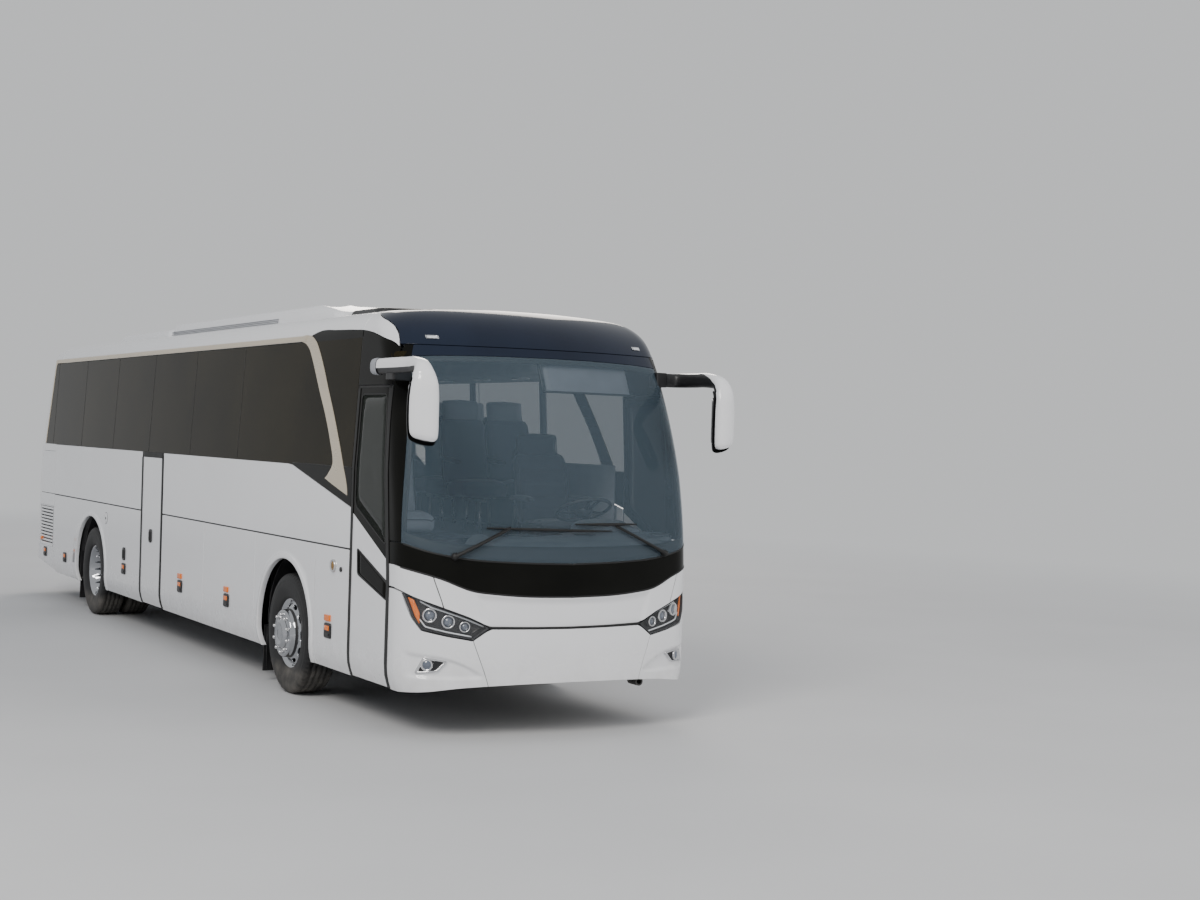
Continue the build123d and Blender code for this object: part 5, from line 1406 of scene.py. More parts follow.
# %% Tail lamps
box_edge = oblong((0.962, 0.904), (1.229, 1.648), 0.03, 8)
box_inner = scaled(box_edge, (0.95, 0.985))
TAIL_LAMP_X, TAIL_LAMP_R = 1.094, 0.078
round_turn = np.linspace(0, 2 * np.pi, 41)
tail_sheets = {"red": [], "amber": [], "clear": [], "rims": []}
back_sheets = []
for sign in (-1, 1):
    back_sheets += [
        fill(box_edge, on_end(TAIL, sign, 0.022), 3), ring(box_edge, box_inner, on_end(TAIL, sign, 0.002), 1)
    ]
    for z_mid, key in ((1.55, "red"), (1.37, "red"), (1.19, "amber"), (1.01, "clear")):
        middle = (TAIL_LAMP_X, z_mid)
        circle = middle + TAIL_LAMP_R * np.stack((np.cos(round_turn), np.sin(round_turn)), -1)
        lens_rows = ((0.92, 0.016), (0.86, 0.006), (0.6, 0.001), (0.3, -0.001), (0.0, -0.001))
        tail_sheets[key].append(rings_on(TAIL, sign, circle, lens_rows, middle))
        rim_rows = ((1.0, 0.020), (0.99, 0.004), (0.95, 0.001), (0.92, 0.012))
        tail_sheets["rims"].append(rings_on(TAIL, sign, circle, rim_rows, middle))
strip("tail_lamp_boxes", back_sheets, TRIM, stands_for=["tail_lamps"], wall=0.01)
for key, paint in (("red", RED), ("amber", AMBER), ("clear", LIGHT_LENS), ("rims", CHROME)):
    strip("tail_lamp_" + key, tail_sheets[key], paint)

# %% [markdown]
# ## Wheels
# A tyre is one profile spun round, with grooves pressed into the tread and slots across its shoulders.
# A rim is the same, with ten hand holes; its nuts sit in a circle round the hub. Dark rings at the front
# hubs' steps are painted shade.

# %% Tyres
AXLE_Y, AXLE_Z = 3.375, 0.522
WHEEL_X, INNER_WHEEL_X, WHEEL_OUT = 1.085, 0.755, 0.045
WHEELS = (
    ("front_right", -1, -AXLE_Y, (WHEEL_X,)), ("front_left", 1, -AXLE_Y, (WHEEL_X,)),
    ("rear_right", -1, AXLE_Y, (WHEEL_X, INNER_WHEEL_X)), ("rear_left", 1, AXLE_Y, (WHEEL_X, INNER_WHEEL_X)),
)
GROOVES = (-0.074, -0.026, 0.026, 0.074)
side_wall = [
    (0.100, 0.293), (0.119, 0.305), (0.128, 0.318), (0.1365, 0.345), (0.1440, 0.380), (0.1470, 0.410),
    (0.1462, 0.440), (0.1440, 0.452), (0.1452, 0.456), (0.1420, 0.470), (0.1350, 0.492), (0.1280, 0.507),
    (0.1180, 0.515)
]
tread = [(0.106, 0.519)]
for groove in GROOVES[::-1]:
    tread += [
        (groove + 0.0065, 0.5216), (groove + 0.0045, 0.509), (groove - 0.0045, 0.509),
        (groove - 0.0065, 0.5216), (groove - 0.02, 0.5219)
    ]
tread[-1] = (-0.106, 0.519)
tyre_profile = np.array(side_wall + tread + [(-a, r) for a, r in side_wall[::-1]])
ANGLES = 360


def tyre_sheet(centre_x, axle_y):
    """The profile spun round. Groove walls wander from side to side, and every fifth step of the angle cuts
    a slot across the shoulders."""
    angle = np.linspace(0, 2 * np.pi, ANGLES + 1)[None]
    along, radius = tyre_profile[:, 0, None], tyre_profile[:, 1, None]
    tread_part = radius > 0.5
    step = np.arange(ANGLES + 1)[None] % ANGLES
    wander = 0.003 * (np.abs((step / 6) % 2 - 1) * 2 - 1) * (tread_part & (np.abs(along) < 0.09))
    slot_cut = 0.010 * ((step % 5) == 0) * (np.abs(along) > 0.100) * tread_part * (np.abs(along) < 0.130)
    fine_cut = 0.004 * ((step % 5) == 2) * (np.abs(along) < 0.09) * (radius > 0.52)
    x, r = along + wander + 0 * angle, radius - slot_cut - fine_cut
    sheet = np.stack((centre_x + x, axle_y + r * np.cos(angle), AXLE_Z + r * np.sin(angle)), -1)
    sheet[:, -1] = sheet[:, 0]
    return sheet


def at_wheel(sheets, sign, axle_y):
    """Sheets made about the x axis, laid on an outer wheel's axle, and mirrored for the left side."""
    return [sheet * (sign, 1, 1) + (sign * (WHEEL_X + WHEEL_OUT), axle_y, AXLE_Z) for sheet in sheets]


for wheel, sign, axle_y, places in WHEELS:
    tyres = [tyre_sheet(sign * (x + WHEEL_OUT), axle_y) for x in places]
    piece(wheel + "_tyres", tyres, TYRE, body=wheel + "_wheel", stands_for=[wheel + "_tyre"])

# %% Mud flaps
flap_x, flap_z = np.meshgrid(np.linspace(-1.222, -0.95, 9), np.linspace(0.095, 0.52, 12), indexing="ij")
mud_flap = np.stack((flap_x, -2.655 + 0.02 * ((0.52 - flap_z) / 0.4) ** 2, flap_z), -1)
flap_ribs = [
    tube(np.stack((np.full(2, x), np.full(2, -2.668), np.array((0.12, 0.50))), -1), 0.004, 6)
    for x in np.linspace(-1.20, -0.98, 7)
]
piece("front_mud_flaps", both(mud_flap), TRIM, heart=(0, 0, 0.4), wall=0.010, edge=0.002)
piece("mud_flap_ribs", both(*[sheet for rib in flap_ribs for sheet in rib]), TRIM)
flap_x, flap_z = np.meshgrid(np.linspace(-1.215, -0.62, 12), np.linspace(0.115, 0.70, 12), indexing="ij")
rear_flap = np.stack((flap_x, 4.188 + 0.02 * ((0.70 - flap_z) / 0.5) ** 2, flap_z), -1)
piece("rear_mud_flaps", both(rear_flap), TRIM, heart=(0, 9, 0.4), wall=0.010, edge=0.002)
liner_turn, liner_x = np.meshgrid(
    np.linspace(-0.33, np.pi + 0.33, 61), np.linspace(-1.245, -0.60, 6), indexing="ij"
)
liner = np.stack((liner_x, 3.50 + 0.722 * np.cos(liner_turn), 0.545 + 0.645 * np.sin(liner_turn)), -1)
piece("rear_arch_liners", both(liner), TRIM, heart=(0, 3.5, 6), wall=0.004)

# %% Rims
FRONT_DISC = [
    (0.116, 0.214), (0.118, 0.208), (0.172, 0.205), (0.181, 0.202), (0.185, 0.196), (0.185, 0.180),
    (0.185, 0.140), (0.190, 0.128), (0.214, 0.112), (0.222, 0.095), (0.206, 0.080), (0.210, 0.050),
    (0.214, 0.0)
]
FRONT_EDGE = [
    (-0.100, 0.262), (-0.112, 0.282), (-0.112, 0.305), (-0.099, 0.3055), (-0.098, 0.293), (0.098, 0.293),
    (0.100, 0.306), (0.108, 0.322), (0.113, 0.320), (0.110, 0.300), (0.104, 0.284), (0.086, 0.268)
]
REAR_DISC = [
    (-0.150, 0.186), (-0.152, 0.160), (-0.148, 0.148), (-0.060, 0.130), (-0.024, 0.126), (-0.010, 0.118),
    (-0.002, 0.106), (0.0, 0.085), (-0.008, 0.075), (-0.004, 0.045), (0.0, 0.0)
]
REAR_EDGE = [
    (-0.442, 0.270), (-0.442, 0.3055), (-0.429, 0.3055), (-0.428, 0.293), (-0.232, 0.293), (-0.231, 0.305),
    (-0.218, 0.305), (-0.180, 0.262), (-0.170, 0.230), (-0.150, 0.262), (-0.112, 0.305), (-0.099, 0.305),
    (-0.098, 0.293), (0.098, 0.293), (0.100, 0.306), (0.108, 0.322), (0.113, 0.320), (0.110, 0.300),
    (0.098, 0.276), (-0.080, 0.262)
]
HAND_HOLES, NUTS = 10, 10


def hole_band(start, end):
    """The ring of the disc with the hand holes: in each tenth of it, rays from the hole's middle run from its
    oval edge to the border of the tenth, and then a short wall goes inwards."""
    (a0, r0), (a1, r1) = start, end
    half = np.pi / HAND_HOLES
    turn = np.linspace(0, 2 * np.pi, 41)
    square = np.maximum(np.abs(np.cos(turn)), np.abs(np.sin(turn)))
    border = np.stack((np.cos(turn) / square, np.sin(turn) / square), -1)
    oval = np.stack((np.cos(turn) * 0.60, np.sin(turn) * 0.62), -1)
    rows = [border * (1 - w) + oval * w for w in (0, 0.5, 0.85, 1.0)] + [oval * 0.97, oval * 0.95]
    sink = [0, 0, 0, 0, 0.006, 0.020]
    sheets = []
    for k in range(HAND_HOLES):
        grid = np.stack(rows, 1)
        share = (grid[..., 1] + 1) / 2
        radius, along = r0 + (r1 - r0) * share, a0 + (a1 - a0) * share - np.array(sink)
        angle = 2 * half * k + grid[..., 0] * half
        sheets.append(np.stack((along, radius * np.cos(angle), radius * np.sin(angle)), -1))
    return sheets


def nut_sheets(base, circle_r):
    """Ten wheel nuts: a flange, a six-sided body and a domed end."""
    flange = spun([(base, 0.0), (base, 0.019), (base + 0.005, 0.018), (base + 0.006, 0.0)], 18)
    body = spun(
        [(base + 0.005, 0.0155), (base + 0.024, 0.0155), (base + 0.028, 0.011), (base + 0.030, 0.0)], 6
    )
    sheets = []
    for k in range(NUTS):
        angle = 2 * np.pi * (k + 0.5) / NUTS
        shift = (0, circle_r * math.cos(angle), circle_r * math.sin(angle))
        sheets += [sheet + shift for sheet in flange + body]
    return sheets


for wheel, sign, axle_y, places in WHEELS:
    front = len(places) == 1
    edge, disc = (FRONT_EDGE, FRONT_DISC) if front else (REAR_EDGE, REAR_DISC)
    alloy = spun(edge, 80) + hole_band(edge[-1], disc[0]) + spun(disc, 80)
    piece(
        wheel + "_alloy", at_wheel(alloy, sign, axle_y), ALLOY, body=wheel + "_wheel",
        stands_for=[wheel + "_rim"]
    )
    if front:
        # Two dark rings, at the step round the hub and round its cap, are painted shade for the shadow in
        # these steps.
        rings = spun([(0.1165, 0.2135), (0.1175, 0.2095), (0.140, 0.2085), (0.140, 0.2065)], 64)
        rings += spun([(0.1840, 0.1380), (0.1870, 0.1365), (0.1890, 0.1315), (0.1880, 0.1270)], 64)
        piece(wheel + "_hub_rings", at_wheel(rings, sign, axle_y), TRIM, body=wheel + "_wheel")
    nuts = nut_sheets(*((0.184, 0.1625) if front else (-0.153, 0.1675)))
    piece(wheel + "_nuts", at_wheel(nuts, sign, axle_y), CHROME, body=wheel + "_wheel")
print("lamps and wheels ready")

# %% [markdown]
# ## Mirrors
# Each mirror is one swan neck: an oval arm that grows into a tall head as it bends down. The outer half of
# the oval is painted, and the inner half is black plastic that stands out round the shell as a dark rim.

# %% Mirrors
def neck(stations, half_turn=np.pi, grow=0.0, turn_high=None, cells=26):
    """Ovals along a path. A station is (x, y, z, half across, half through), and the oval stands square to
    the path. The angle is 0 on the outside of the bend and covers a half turn either side of it, or runs from
    the half turn to turn_high."""
    rows = np.array(stations, float)
    u = np.arange(len(rows), dtype=float)
    fine = np.linspace(0, len(rows) - 1, 8 * len(rows))
    x, y, z, across, through = (smooth_line(list(zip(u, column)))(fine) for column in rows.T)
    low, high = (
        np.interp(fine, u, np.broadcast_to(edge, len(rows)))[:, None]
        for edge in ((-half_turn, half_turn) if turn_high is None else (half_turn, turn_high))
    )
    path = np.stack((x, y, z), -1)
    way = np.gradient(path, axis=0)
    way /= np.linalg.norm(way, axis=1, keepdims=True)
    side = np.cross(way, (0, 0, 1.0))
    lost = np.linalg.norm(side, axis=1) < 0.35
    side[lost] = (-1.0, 0, 0)
    side /= np.linalg.norm(side, axis=1, keepdims=True)
    out = np.cross(side, way)
    angle = low + (high - low) * np.linspace(0, 1, cells + 1)[None]
    cos, sin = np.cos(angle), np.sin(angle)
    power = 0.82
    cos, sin = np.sign(cos) * np.abs(cos) ** power, np.sign(sin) * np.abs(sin) ** power
    across, through = (
        np.maximum(across + grow, 0)[:, None, None], np.maximum(through + grow, 0)[:, None, None]
    )
    return path[:, None] + out[:, None] * cos[..., None] * through + side[:, None] * sin[..., None] * across


def tilt_up(sheet, middle_x, sign, share=0.2, yaw=0.24):
    """Raises the head's outer side a little, more towards its foot, and turns it outwards below the bend."""
    drop = np.clip((2.62 - sheet[..., 2]) / 0.4, 0, 1)
    lift = drop * share * ((sheet[..., 0] - middle_x) * sign)
    turn = (
        sign * yaw * np.clip((2.77 - sheet[..., 2]) / 0.12, 0, 1)
        * (sheet[..., 1] < -6.24 if sign < 0 else sheet[..., 1] < -5.98)
    )
    across = sheet[..., 0] - middle_x
    return np.stack(
        (middle_x + across * np.cos(turn), sheet[..., 1] + across * np.sin(turn), sheet[..., 2] + lift), -1
    )


HEAD = [
    (0.012, -0.070, 2.775, 0.058, 0.060), (0.022, -0.132, 2.722, 0.078, 0.066),
    (0.028, -0.158, 2.645, 0.097, 0.071), (0.030, -0.160, 2.54, 0.106, 0.073),
    (0.030, -0.160, 2.42, 0.107, 0.073), (0.028, -0.160, 2.31, 0.104, 0.072),
    (0.027, -0.158, 2.268, 0.092, 0.064), (0.026, -0.156, 2.248, 0.060, 0.045),
    (0.026, -0.156, 2.243, 0.0, 0.0)
]
right_arm = [
    (-1.36, -5.50, 2.795, 0.040, 0.062), (-1.36, -5.75, 2.795, 0.041, 0.063),
    (-1.36, -6.0, 2.795, 0.042, 0.062), (-1.362, -6.14, 2.795, 0.048, 0.062)
]
right_neck = right_arm + [(-1.36 - x, -6.22 + y, z, a, b) for x, y, z, a, b in HEAD]
left_arm = [
    (1.17, -5.475, 2.795, 0.040, 0.062), (1.30, -5.50, 2.795, 0.041, 0.062),
    (1.35, -5.60, 2.795, 0.042, 0.062), (1.36, -5.74, 2.795, 0.043, 0.062), (1.36, -5.87, 2.795, 0.048, 0.062)
]
left_neck = left_arm + [(1.36 + x * 0.6, -5.96 + y, z, a, b) for x, y, z, a, b in HEAD]
HEAD_LOW, HEAD_HIGH = 2.265, 2.66
painted, plastic, glass = [], [], []
for sign, line, fixed in ((-1, right_neck, 4), (1, left_neck, 5)):
    middle_x = line[-4][0]
    count = len(line)
    shell_turn = np.where(np.arange(count) < fixed, 1.75 if sign < 0 else 0.60, 1.50)
    if sign > 0:
        shell_turn[:2] = 0.12
    painted.append(tilt_up(neck(line, shell_turn), middle_x, sign))
    plastic.append(tilt_up(neck(line, grow=-0.005), middle_x, sign))
    rim_line = [
        (x, y + 0.010, z - (0.030 if i > count - 4 else 0.012), a * 1.03, b)
        for i, (x, y, z, a, b) in enumerate(line)
        if i >= fixed + 1
    ]
    plastic.append(tilt_up(neck(rim_line, 1.62, turn_high=2 * np.pi - 1.62), middle_x, sign))
    pane_edge = oblong((-0.085, HEAD_LOW + 0.02), (0.085, HEAD_HIGH), 0.04, 8, 5)
    back_y = line[-5][1] + 0.0755
    glass.append(
        tilt_up(
            fill(pane_edge, lambda a, b: np.stack((middle_x + a, back_y + 0 * a, b), -1), 4), middle_x, sign
        )
    )
piece("mirror_shells", painted, WHITE, wall=0.004, edge=0.0015)
piece("mirror_housings", plastic, TRIM, stands_for=["mirrors"])
piece("mirror_glass", glass, CHROME, heart=(0, -7, 2.4), wall=0.003)
CAP_ARM = [(-5.385, 0.030, 0.050), (-5.392, 0.040, 0.060), (-5.45, 0.042, 0.064), (-5.50, 0.042, 0.064)]
cap = neck([(-1.36, y, 2.795, across, through) for y, across, through in CAP_ARM], grow=0.0015)
cap_end = np.stack((cap[0], np.broadcast_to((-1.36, -5.383, 2.795), cap[0].shape)))
piece("mirror_arm_cap", [cap, cap_end], LINING, slot="black_plastic")
MIRROR_FEET = (
    (
        "mirror_bracket", [(-1.09, -5.415), (-1.12, -5.55), (-1.375, -5.79), (-1.378, -5.63)], 0.03,
        (2.692, 2.758)
    ), ("mirror_foot", [(1.09, -5.405), (1.09, -5.545), (1.20, -5.53), (1.20, -5.415)], 0.02, (2.735, 2.855))
)
for foot_name, corners, radius, heights in MIRROR_FEET:
    foot = outline(corners, radius)
    slab = [np.stack([np.concatenate((foot, np.full((len(foot), 1), z)), 1) for z in heights], 1)]
    slab += [fill(foot, lambda a, b, z=z: np.stack((a, b, z + 0 * a), -1), 3) for z in heights]
    piece(foot_name, slab, TRIM, edge=0.004)
print("mirrors ready")

# %% [markdown]
# ## Wipers
# Both wipers park along the foot of the glass. A wiper is a cast arm that starts as a domed pivot and thins
# towards the blade, and a blade of a curved spring rail over a rubber edge.

# %% Wipers
def on_glass(x, z, height):
    """A point over the windscreen at half width x and height z, a given height off the glass."""
    return skin(NOSE, np.sign(x) * way_at(NOSE, np.abs(x), z), z, -height)


def bar_on_glass(start, end, heights, radii, sides=8, flat=0.8):
    """A tapered bar over the glass: straight in x and z, with its heights off the glass listed."""
    w = np.linspace(0, 1, 24)
    x, z = start[0] + (end[0] - start[0]) * w, start[1] + (end[1] - start[1]) * w
    spot = np.linspace(0, 1, len(heights))
    return tube(
        on_glass(x, z, np.interp(w, spot, heights)), np.interp(w, np.linspace(0, 1, len(radii)), radii),
        sides, flat
    )


wiper_bars, wiper_edges = [], []
for pivot, tip, blade_ends in (
    ((-0.927, 1.378), (-0.514, 1.595), ((-0.693, 1.597), (0.354, 1.575))),
    ((0.910, 1.390), (0.388, 1.612), ((0.025, 1.630), (0.603, 1.628)))
):
    wiper_bars += bar_on_glass(pivot, tip, (0.030, 0.034, 0.030, 0.026), (0.017, 0.015, 0.011, 0.009))
    wiper_bars += bar_on_glass(
        (pivot[0], pivot[1] + 0.012), (tip[0], tip[1] + 0.012), (0.018, 0.020, 0.020, 0.022),
        (0.006, 0.006, 0.006, 0.006), 6
    )
    wiper_bars += bar_on_glass(
        *blade_ends, (0.014, 0.026, 0.030, 0.026, 0.014), (0.006, 0.012, 0.014, 0.012, 0.006), 8, 0.8
    )
    wiper_edges += bar_on_glass(*blade_ends, (0.007, 0.008, 0.007), (0.006, 0.006, 0.006), 6)
    sign = math.copysign(1, pivot[0])
    normal = nose_normal(abs(pivot[0]), pivot[1], sign)
    seat_place = on_glass(np.array(pivot[0]), np.array(pivot[1]), -0.002)
    wiper_bars += facing(
        spun(
            [(0.0, 0.0), (0.0, 0.030), (0.008, 0.030), (0.030, 0.024), (0.042, 0.016), (0.045, 0.0)], 28, "z"
        ), seat_place, normal
    )
piece("wiper_arms", wiper_bars, RUBBER, stands_for=["wipers"])
piece("wiper_blades", wiper_edges, RUBBER)

# %% [markdown]
# ## Roof units
# Low covers stand on the roof: two dark hatches at the front, then the long cooler, its rear half and the
# rear hatch in white. Each is a rounded hood: rings of one outline, drawn in a little more at each step, rise
# on a quarter circle and then run flat to a straight spine.

# %% Roof units
def roof_z(x):
    """Height of the roof's crown at x."""
    return ROOF_Z - CROWN_R + np.sqrt(CROWN_R**2 - x**2)


def hood(y_front, y_rear, half, top, front_run, rear_run, radius=0.05, crown=0.012):
    """A rounded cover: rings that shrink from its edge to a straight spine. Its full height is reached after
    a straight ramp at each end, and sinks by the crown towards its sides:
    z = roof - 4 mm + (top - crown (x / half)^2 - roof) rise (0.35 + 0.65 ramp)."""
    edge = oblong((-half, y_front), (half, y_rear), 0.12, 14, 8)
    middle = np.array([0, (y_front + y_rear) / 2])
    span = np.array([half, (y_rear - y_front) / 2])
    least = min(span)
    turn = np.linspace(0, np.pi / 2, 7)
    rows = [(0.0, 0.0)] + [(radius * (1 - math.cos(a)), math.sin(a)) for a in turn]
    rows += [(share * least, 1.0) for share in (0.15, 0.31, 0.49, 0.73)]

    def raised(place, rise):
        """Puts a ring of the cover on its height."""
        x, y = place.T
        near_end = np.minimum(
            (y - y_front + 0.03) / max(front_run, 0.03), (y_rear + 0.03 - y) / max(rear_run, 0.03)
        )
        full = top - crown * (x / half) ** 2
        z = roof_z(x) - 0.004 + (full - roof_z(x)) * rise * (0.35 + 0.65 * np.clip(near_end, 0, 1))
        return np.stack((x, y, z), -1)

    sheet = [raised(middle + (edge - middle) * (1 - inset / span), rise) for inset, rise in rows]
    sheet[0][:, 2] -= 0.01
    spine = middle + np.clip(sheet[-1][:, :2] - middle, least - span, span - least)
    return np.stack((*sheet, raised(spine, 1.0)), 1)


covers = [
    hood(-3.20, 1.95, 0.82, 3.452, 0.38, 0.03, 0.05), hood(1.99, 4.25, 0.82, 3.406, 0.03, 0.25, 0.05),
    hood(4.33, 5.65, 0.70, 3.342, 0.10, 0.30, 0.03)
]
piece("roof_covers", covers, WHITE, stands_for=["roof_units"], heart=(0, 1, 0))
hatches = [
    hood(-3.96, -3.23, 0.74, 3.375, 0.04, 0.02, 0.03), hood(-4.74, -4.06, 0.60, 3.336, 0.12, 0.02, 0.02)
]
piece("roof_hatches", hatches, TRIM, heart=(0, -4, 0))
print("roof units ready")

# %% [markdown]
# ## Grilles on the roof covers
# The long cooler breathes through slats along its flanks. A dark rubber tube round the foot of each cover is
# a painted shadow: it draws the shade line under the cover.

# %% Roof grilles
slats = []
for x, z in ((0.8225, 3.318), (0.8203, 3.334), (0.8181, 3.350)):
    y = np.linspace(-1.65, 1.88, 20)
    slats += tube(np.stack((x + 0 * y, y, z + 0 * y), -1), 0.0062, 6, 0.7)
# The dark tube round each cover's foot is a painted shadow, for the shade line where the cover meets the
# roof.
foot = []
for half, y_from, y_to in ((0.82, -3.20, 1.95), (0.82, 1.99, 4.25), (0.70, 4.33, 5.65)):
    edge = oblong((-half, y_from), (half, y_to), 0.12, 14, 8)[:-1]
    foot += tube(np.column_stack((edge, roof_z(edge[:, 0]) + 0.003)), 0.007, 6, close=True)
piece("roof_cover_painted_shadows", foot, RUBBER)
piece("roof_grilles", both(*slats), LINING, slot="satin_steel")

# %% [markdown]
# ## Inside
# Through the glass one sees the lining, the window posts, the luggage racks, the dash and the seats.
# The lining is the outer skin moved inwards, so it follows every curve of the body.

# %% Lining, posts and racks
DECK_Z, SEAT_PITCH, SEAT_ROWS = 1.4, 0.81, 11
lining = [side_patch(1, -4.70, 5.95, 2.98, 3.05, 30, 2, -0.062)]
for y in WINDOW_Y + WINDOW_PITCH * np.arange(0, 7):
    lining.append(side_patch(1, y - 0.06, y + 0.06, 2.06, 2.98, 2, 8, -0.062))
low_lining = [
    side_patch(sign, y_from, y_to, z_from, 2.06, 30, 4, -0.062)
    for sign, y_from, y_to, z_from in (
        (1, -4.70, 5.95, 1.42), (-1, -4.70, 0.49, 1.42), (-1, 0.49, 1.35, 1.975), (-1, 1.35, 5.95, 1.42)
    )
]
piece("side_linings", both(*lining) + low_lining, LINING, heart=(0, 0, 1.8), wall=0.012)
inner_dome = dome * (0.94, 1, 1) + (0, 0.07, -0.075)
inner_roof = crown_half * (0.93, 1, 1) + (0, 0, -0.075)
strip("ceiling", both(inner_dome[:, 2:], inner_roof[:, 6:]), LINING, wall=0.008)
RACK = outline([(0.73, 2.86), (1.08, 2.80), (1.13, 2.98), (0.80, 3.03)], [0.05, 0.02, 0.02, 0.06], 3, 5)
rack_y = np.linspace(-3.9, 5.5, 12)
rack = np.stack([np.stack((RACK[:, 0], y + 0 * RACK[:, 0], RACK[:, 1]), -1) for y in rack_y], 1)
rack_ends = [
    fill(RACK, lambda a, b, y=y: np.stack((a, y + 0 * a, b), -1), 2) for y in (rack_y[0], rack_y[-1])
]
piece("luggage_racks", both(rack, *rack_ends), LINING)
racks_lights = [
    tube([(0.90, y, 2.825), (0.90, y + 0.30, 2.825)], 0.018, 10, 0.6)
    for y in -3.6 + SEAT_PITCH * np.arange(SEAT_ROWS)
]
piece("reading_lights", both(*[sheet for light in racks_lights for sheet in light]), LIGHT_LENS)
aisle = np.stack(
    np.meshgrid(np.linspace(-0.20, 0.20, 5), np.linspace(-4.3, 5.6, 12), indexing="ij")
    + [np.full((5, 12), DECK_Z + 0.004)],
    -1
)
piece("aisle_mat", [aisle], FABRIC, heart=(0, 0, 0), wall=0.003)
blind_x, blind_z = np.meshgrid(np.linspace(-0.08, 0.76, 14), np.linspace(0, 1, 13), indexing="ij")
blind = skin(
    NOSE, way_at(NOSE, np.abs(blind_x), 2.8) * np.sign(blind_x), 2.655 + 0.222 * blind_z,
    0.045 + 0.006 * (np.arange(13) % 2)[None]
)
strip("sun_blind", [blind], LEATHER, slot="cab_plastic", wall=0.003)
rail = skin(NOSE, np.linspace(-0.11, 0.83, 16), 2.650, 0.052)
piece(
    "sun_blind_rail",
    tube(rail, 0.009, 8) + tube(skin(NOSE, np.full(6, -0.11), np.linspace(2.65, 2.88, 6), 0.05), 0.012, 8),
    TRIM
)
print("lining, racks and blind ready")

# %% [markdown]
# ## Dash and steering wheel
# The dash is one outline of depth and height, carried across the cab: its front edge follows the windscreen.
# A cowl stands over the dials, and the wheel lies flat in front of the driver as in any coach.

# %% Dash
dash_x = np.linspace(-0.60, 1.12, 56)
glass_y = skin(NOSE, way_at(NOSE, np.abs(dash_x), 1.40), 1.40)[..., 1] + 0.13
DASH_LINE = np.array(
    [
        (None, 1.02), (None, 1.475), (-5.78, 1.545), (-5.60, 1.515), (-5.485, 1.455), (-5.452, 1.38),
        (-5.50, 1.16), (-5.555, 0.94), (-5.62, 0.905)
    ], float
)
columns = []
for x, front_y in zip(dash_x, glass_y):
    line = DASH_LINE.copy()
    line[:2, 0], line[-1, 0] = front_y, -5.62
    line[2:6, 1] += 0.022 * math.exp(-(((x - 0.60) / 0.42) ** 4)) - 0.03 * math.exp(
        -(((x + 0.25) / 0.3) ** 4)
    )
    round_line = outline(line, [0.01, 0.05, 0.10, 0.06, 0.05, 0.04, 0.05, 0.02, 0.02], 3, 4)
    columns.append(np.stack((x + 0 * round_line[:, 0], round_line[:, 0], round_line[:, 1]), -1))
wrap = np.stack(columns, 1)
ends = [np.stack((wrap[:, i], np.broadcast_to(wrap[:-1, i].mean(0), wrap[:, i].shape)), 1) for i in (0, -1)]
piece("dash_body", [wrap, *ends], DASH, stands_for=["dashboard"])
angle, depth = np.meshgrid(np.linspace(0, np.pi, 25), np.linspace(0, 1, 9), indexing="ij")
cowl_x = 0.60 - 0.27 * np.sign(np.cos(angle)) * np.abs(np.cos(angle)) ** 0.6 * (1 - 0.12 * depth)
cowl_z = 1.535 + (0.105 - 0.055 * depth) * np.sin(angle) ** 0.7
cowl = np.stack((cowl_x, -5.50 - 0.24 * depth - 0.03 * np.sin(angle), cowl_z), -1)
cowl_back = np.stack((cowl[:, -1], cowl[:, -1] * (1, 1, 0) + (0, 0, 1.53)), 1)
piece("dial_cowl", [cowl, cowl_back], DASH, heart=(0.6, -5.6, 1.4), wall=0.008, edge=0.003)
vents = [
    box_sheets((x - 0.09, -5.90, 1.530), (x + 0.09, -5.868, 1.542), (6, 1, 1))
    for x in (-0.35, -0.05, 0.25, 0.95)
]
piece("dash_vents", [sheet for vent in vents for sheet in vent], TRIM, edge=0.003)

# %% Steering wheel
WHEEL_TILT = np.array((0.0, 0.42, 0.9075))
WHEEL_PLACE = np.array((0.58, -5.27, 1.70))
turn = np.linspace(0, 2 * np.pi, 65)[:-1]
grip = tube(np.stack((0.228 * np.cos(turn), 0.228 * np.sin(turn), 0 * turn), -1), 0.0145, 12, close=True)
spokes = []
for a in (0.25, np.pi - 0.25, -np.pi / 2 - 0.22, -np.pi / 2 + 0.22):
    r = np.linspace(0.03, 0.222, 8)
    spokes += tube(
        np.stack((r * math.cos(a), r * math.sin(a), -0.028 * (1 - r / 0.222)), -1),
        np.linspace(0.024, 0.010, 8), 10, 0.45
    )
boss = spun(
    [(-0.075, 0.030), (-0.050, 0.062), (-0.020, 0.078), (-0.004, 0.070), (0.0, 0.045), (0.002, 0.0)], 40, "z"
)
piece("steering_rim", facing(grip, WHEEL_PLACE, WHEEL_TILT), LEATHER_BLACK)
piece("steering_spokes", facing(spokes + boss, WHEEL_PLACE, WHEEL_TILT), TRIM)
column_end = WHEEL_PLACE + np.array((0, -0.20, -0.30))
piece(
    "steering_column",
    tube(
        [WHEEL_PLACE - WHEEL_TILT * 0.05, (WHEEL_PLACE + column_end) / 2, column_end], (0.034, 0.040, 0.052),
        16
    ), TRIM
)

# %% [markdown]
# ## Seats
# A pad is a stuffed form along a line: every section is a rounded square that is fullest in the middle of its
# front, its sides pull in between the corners, bolsters swell at the edges, and channels are pressed across.
# A welt runs along the edge where front and side panel are sewn together.

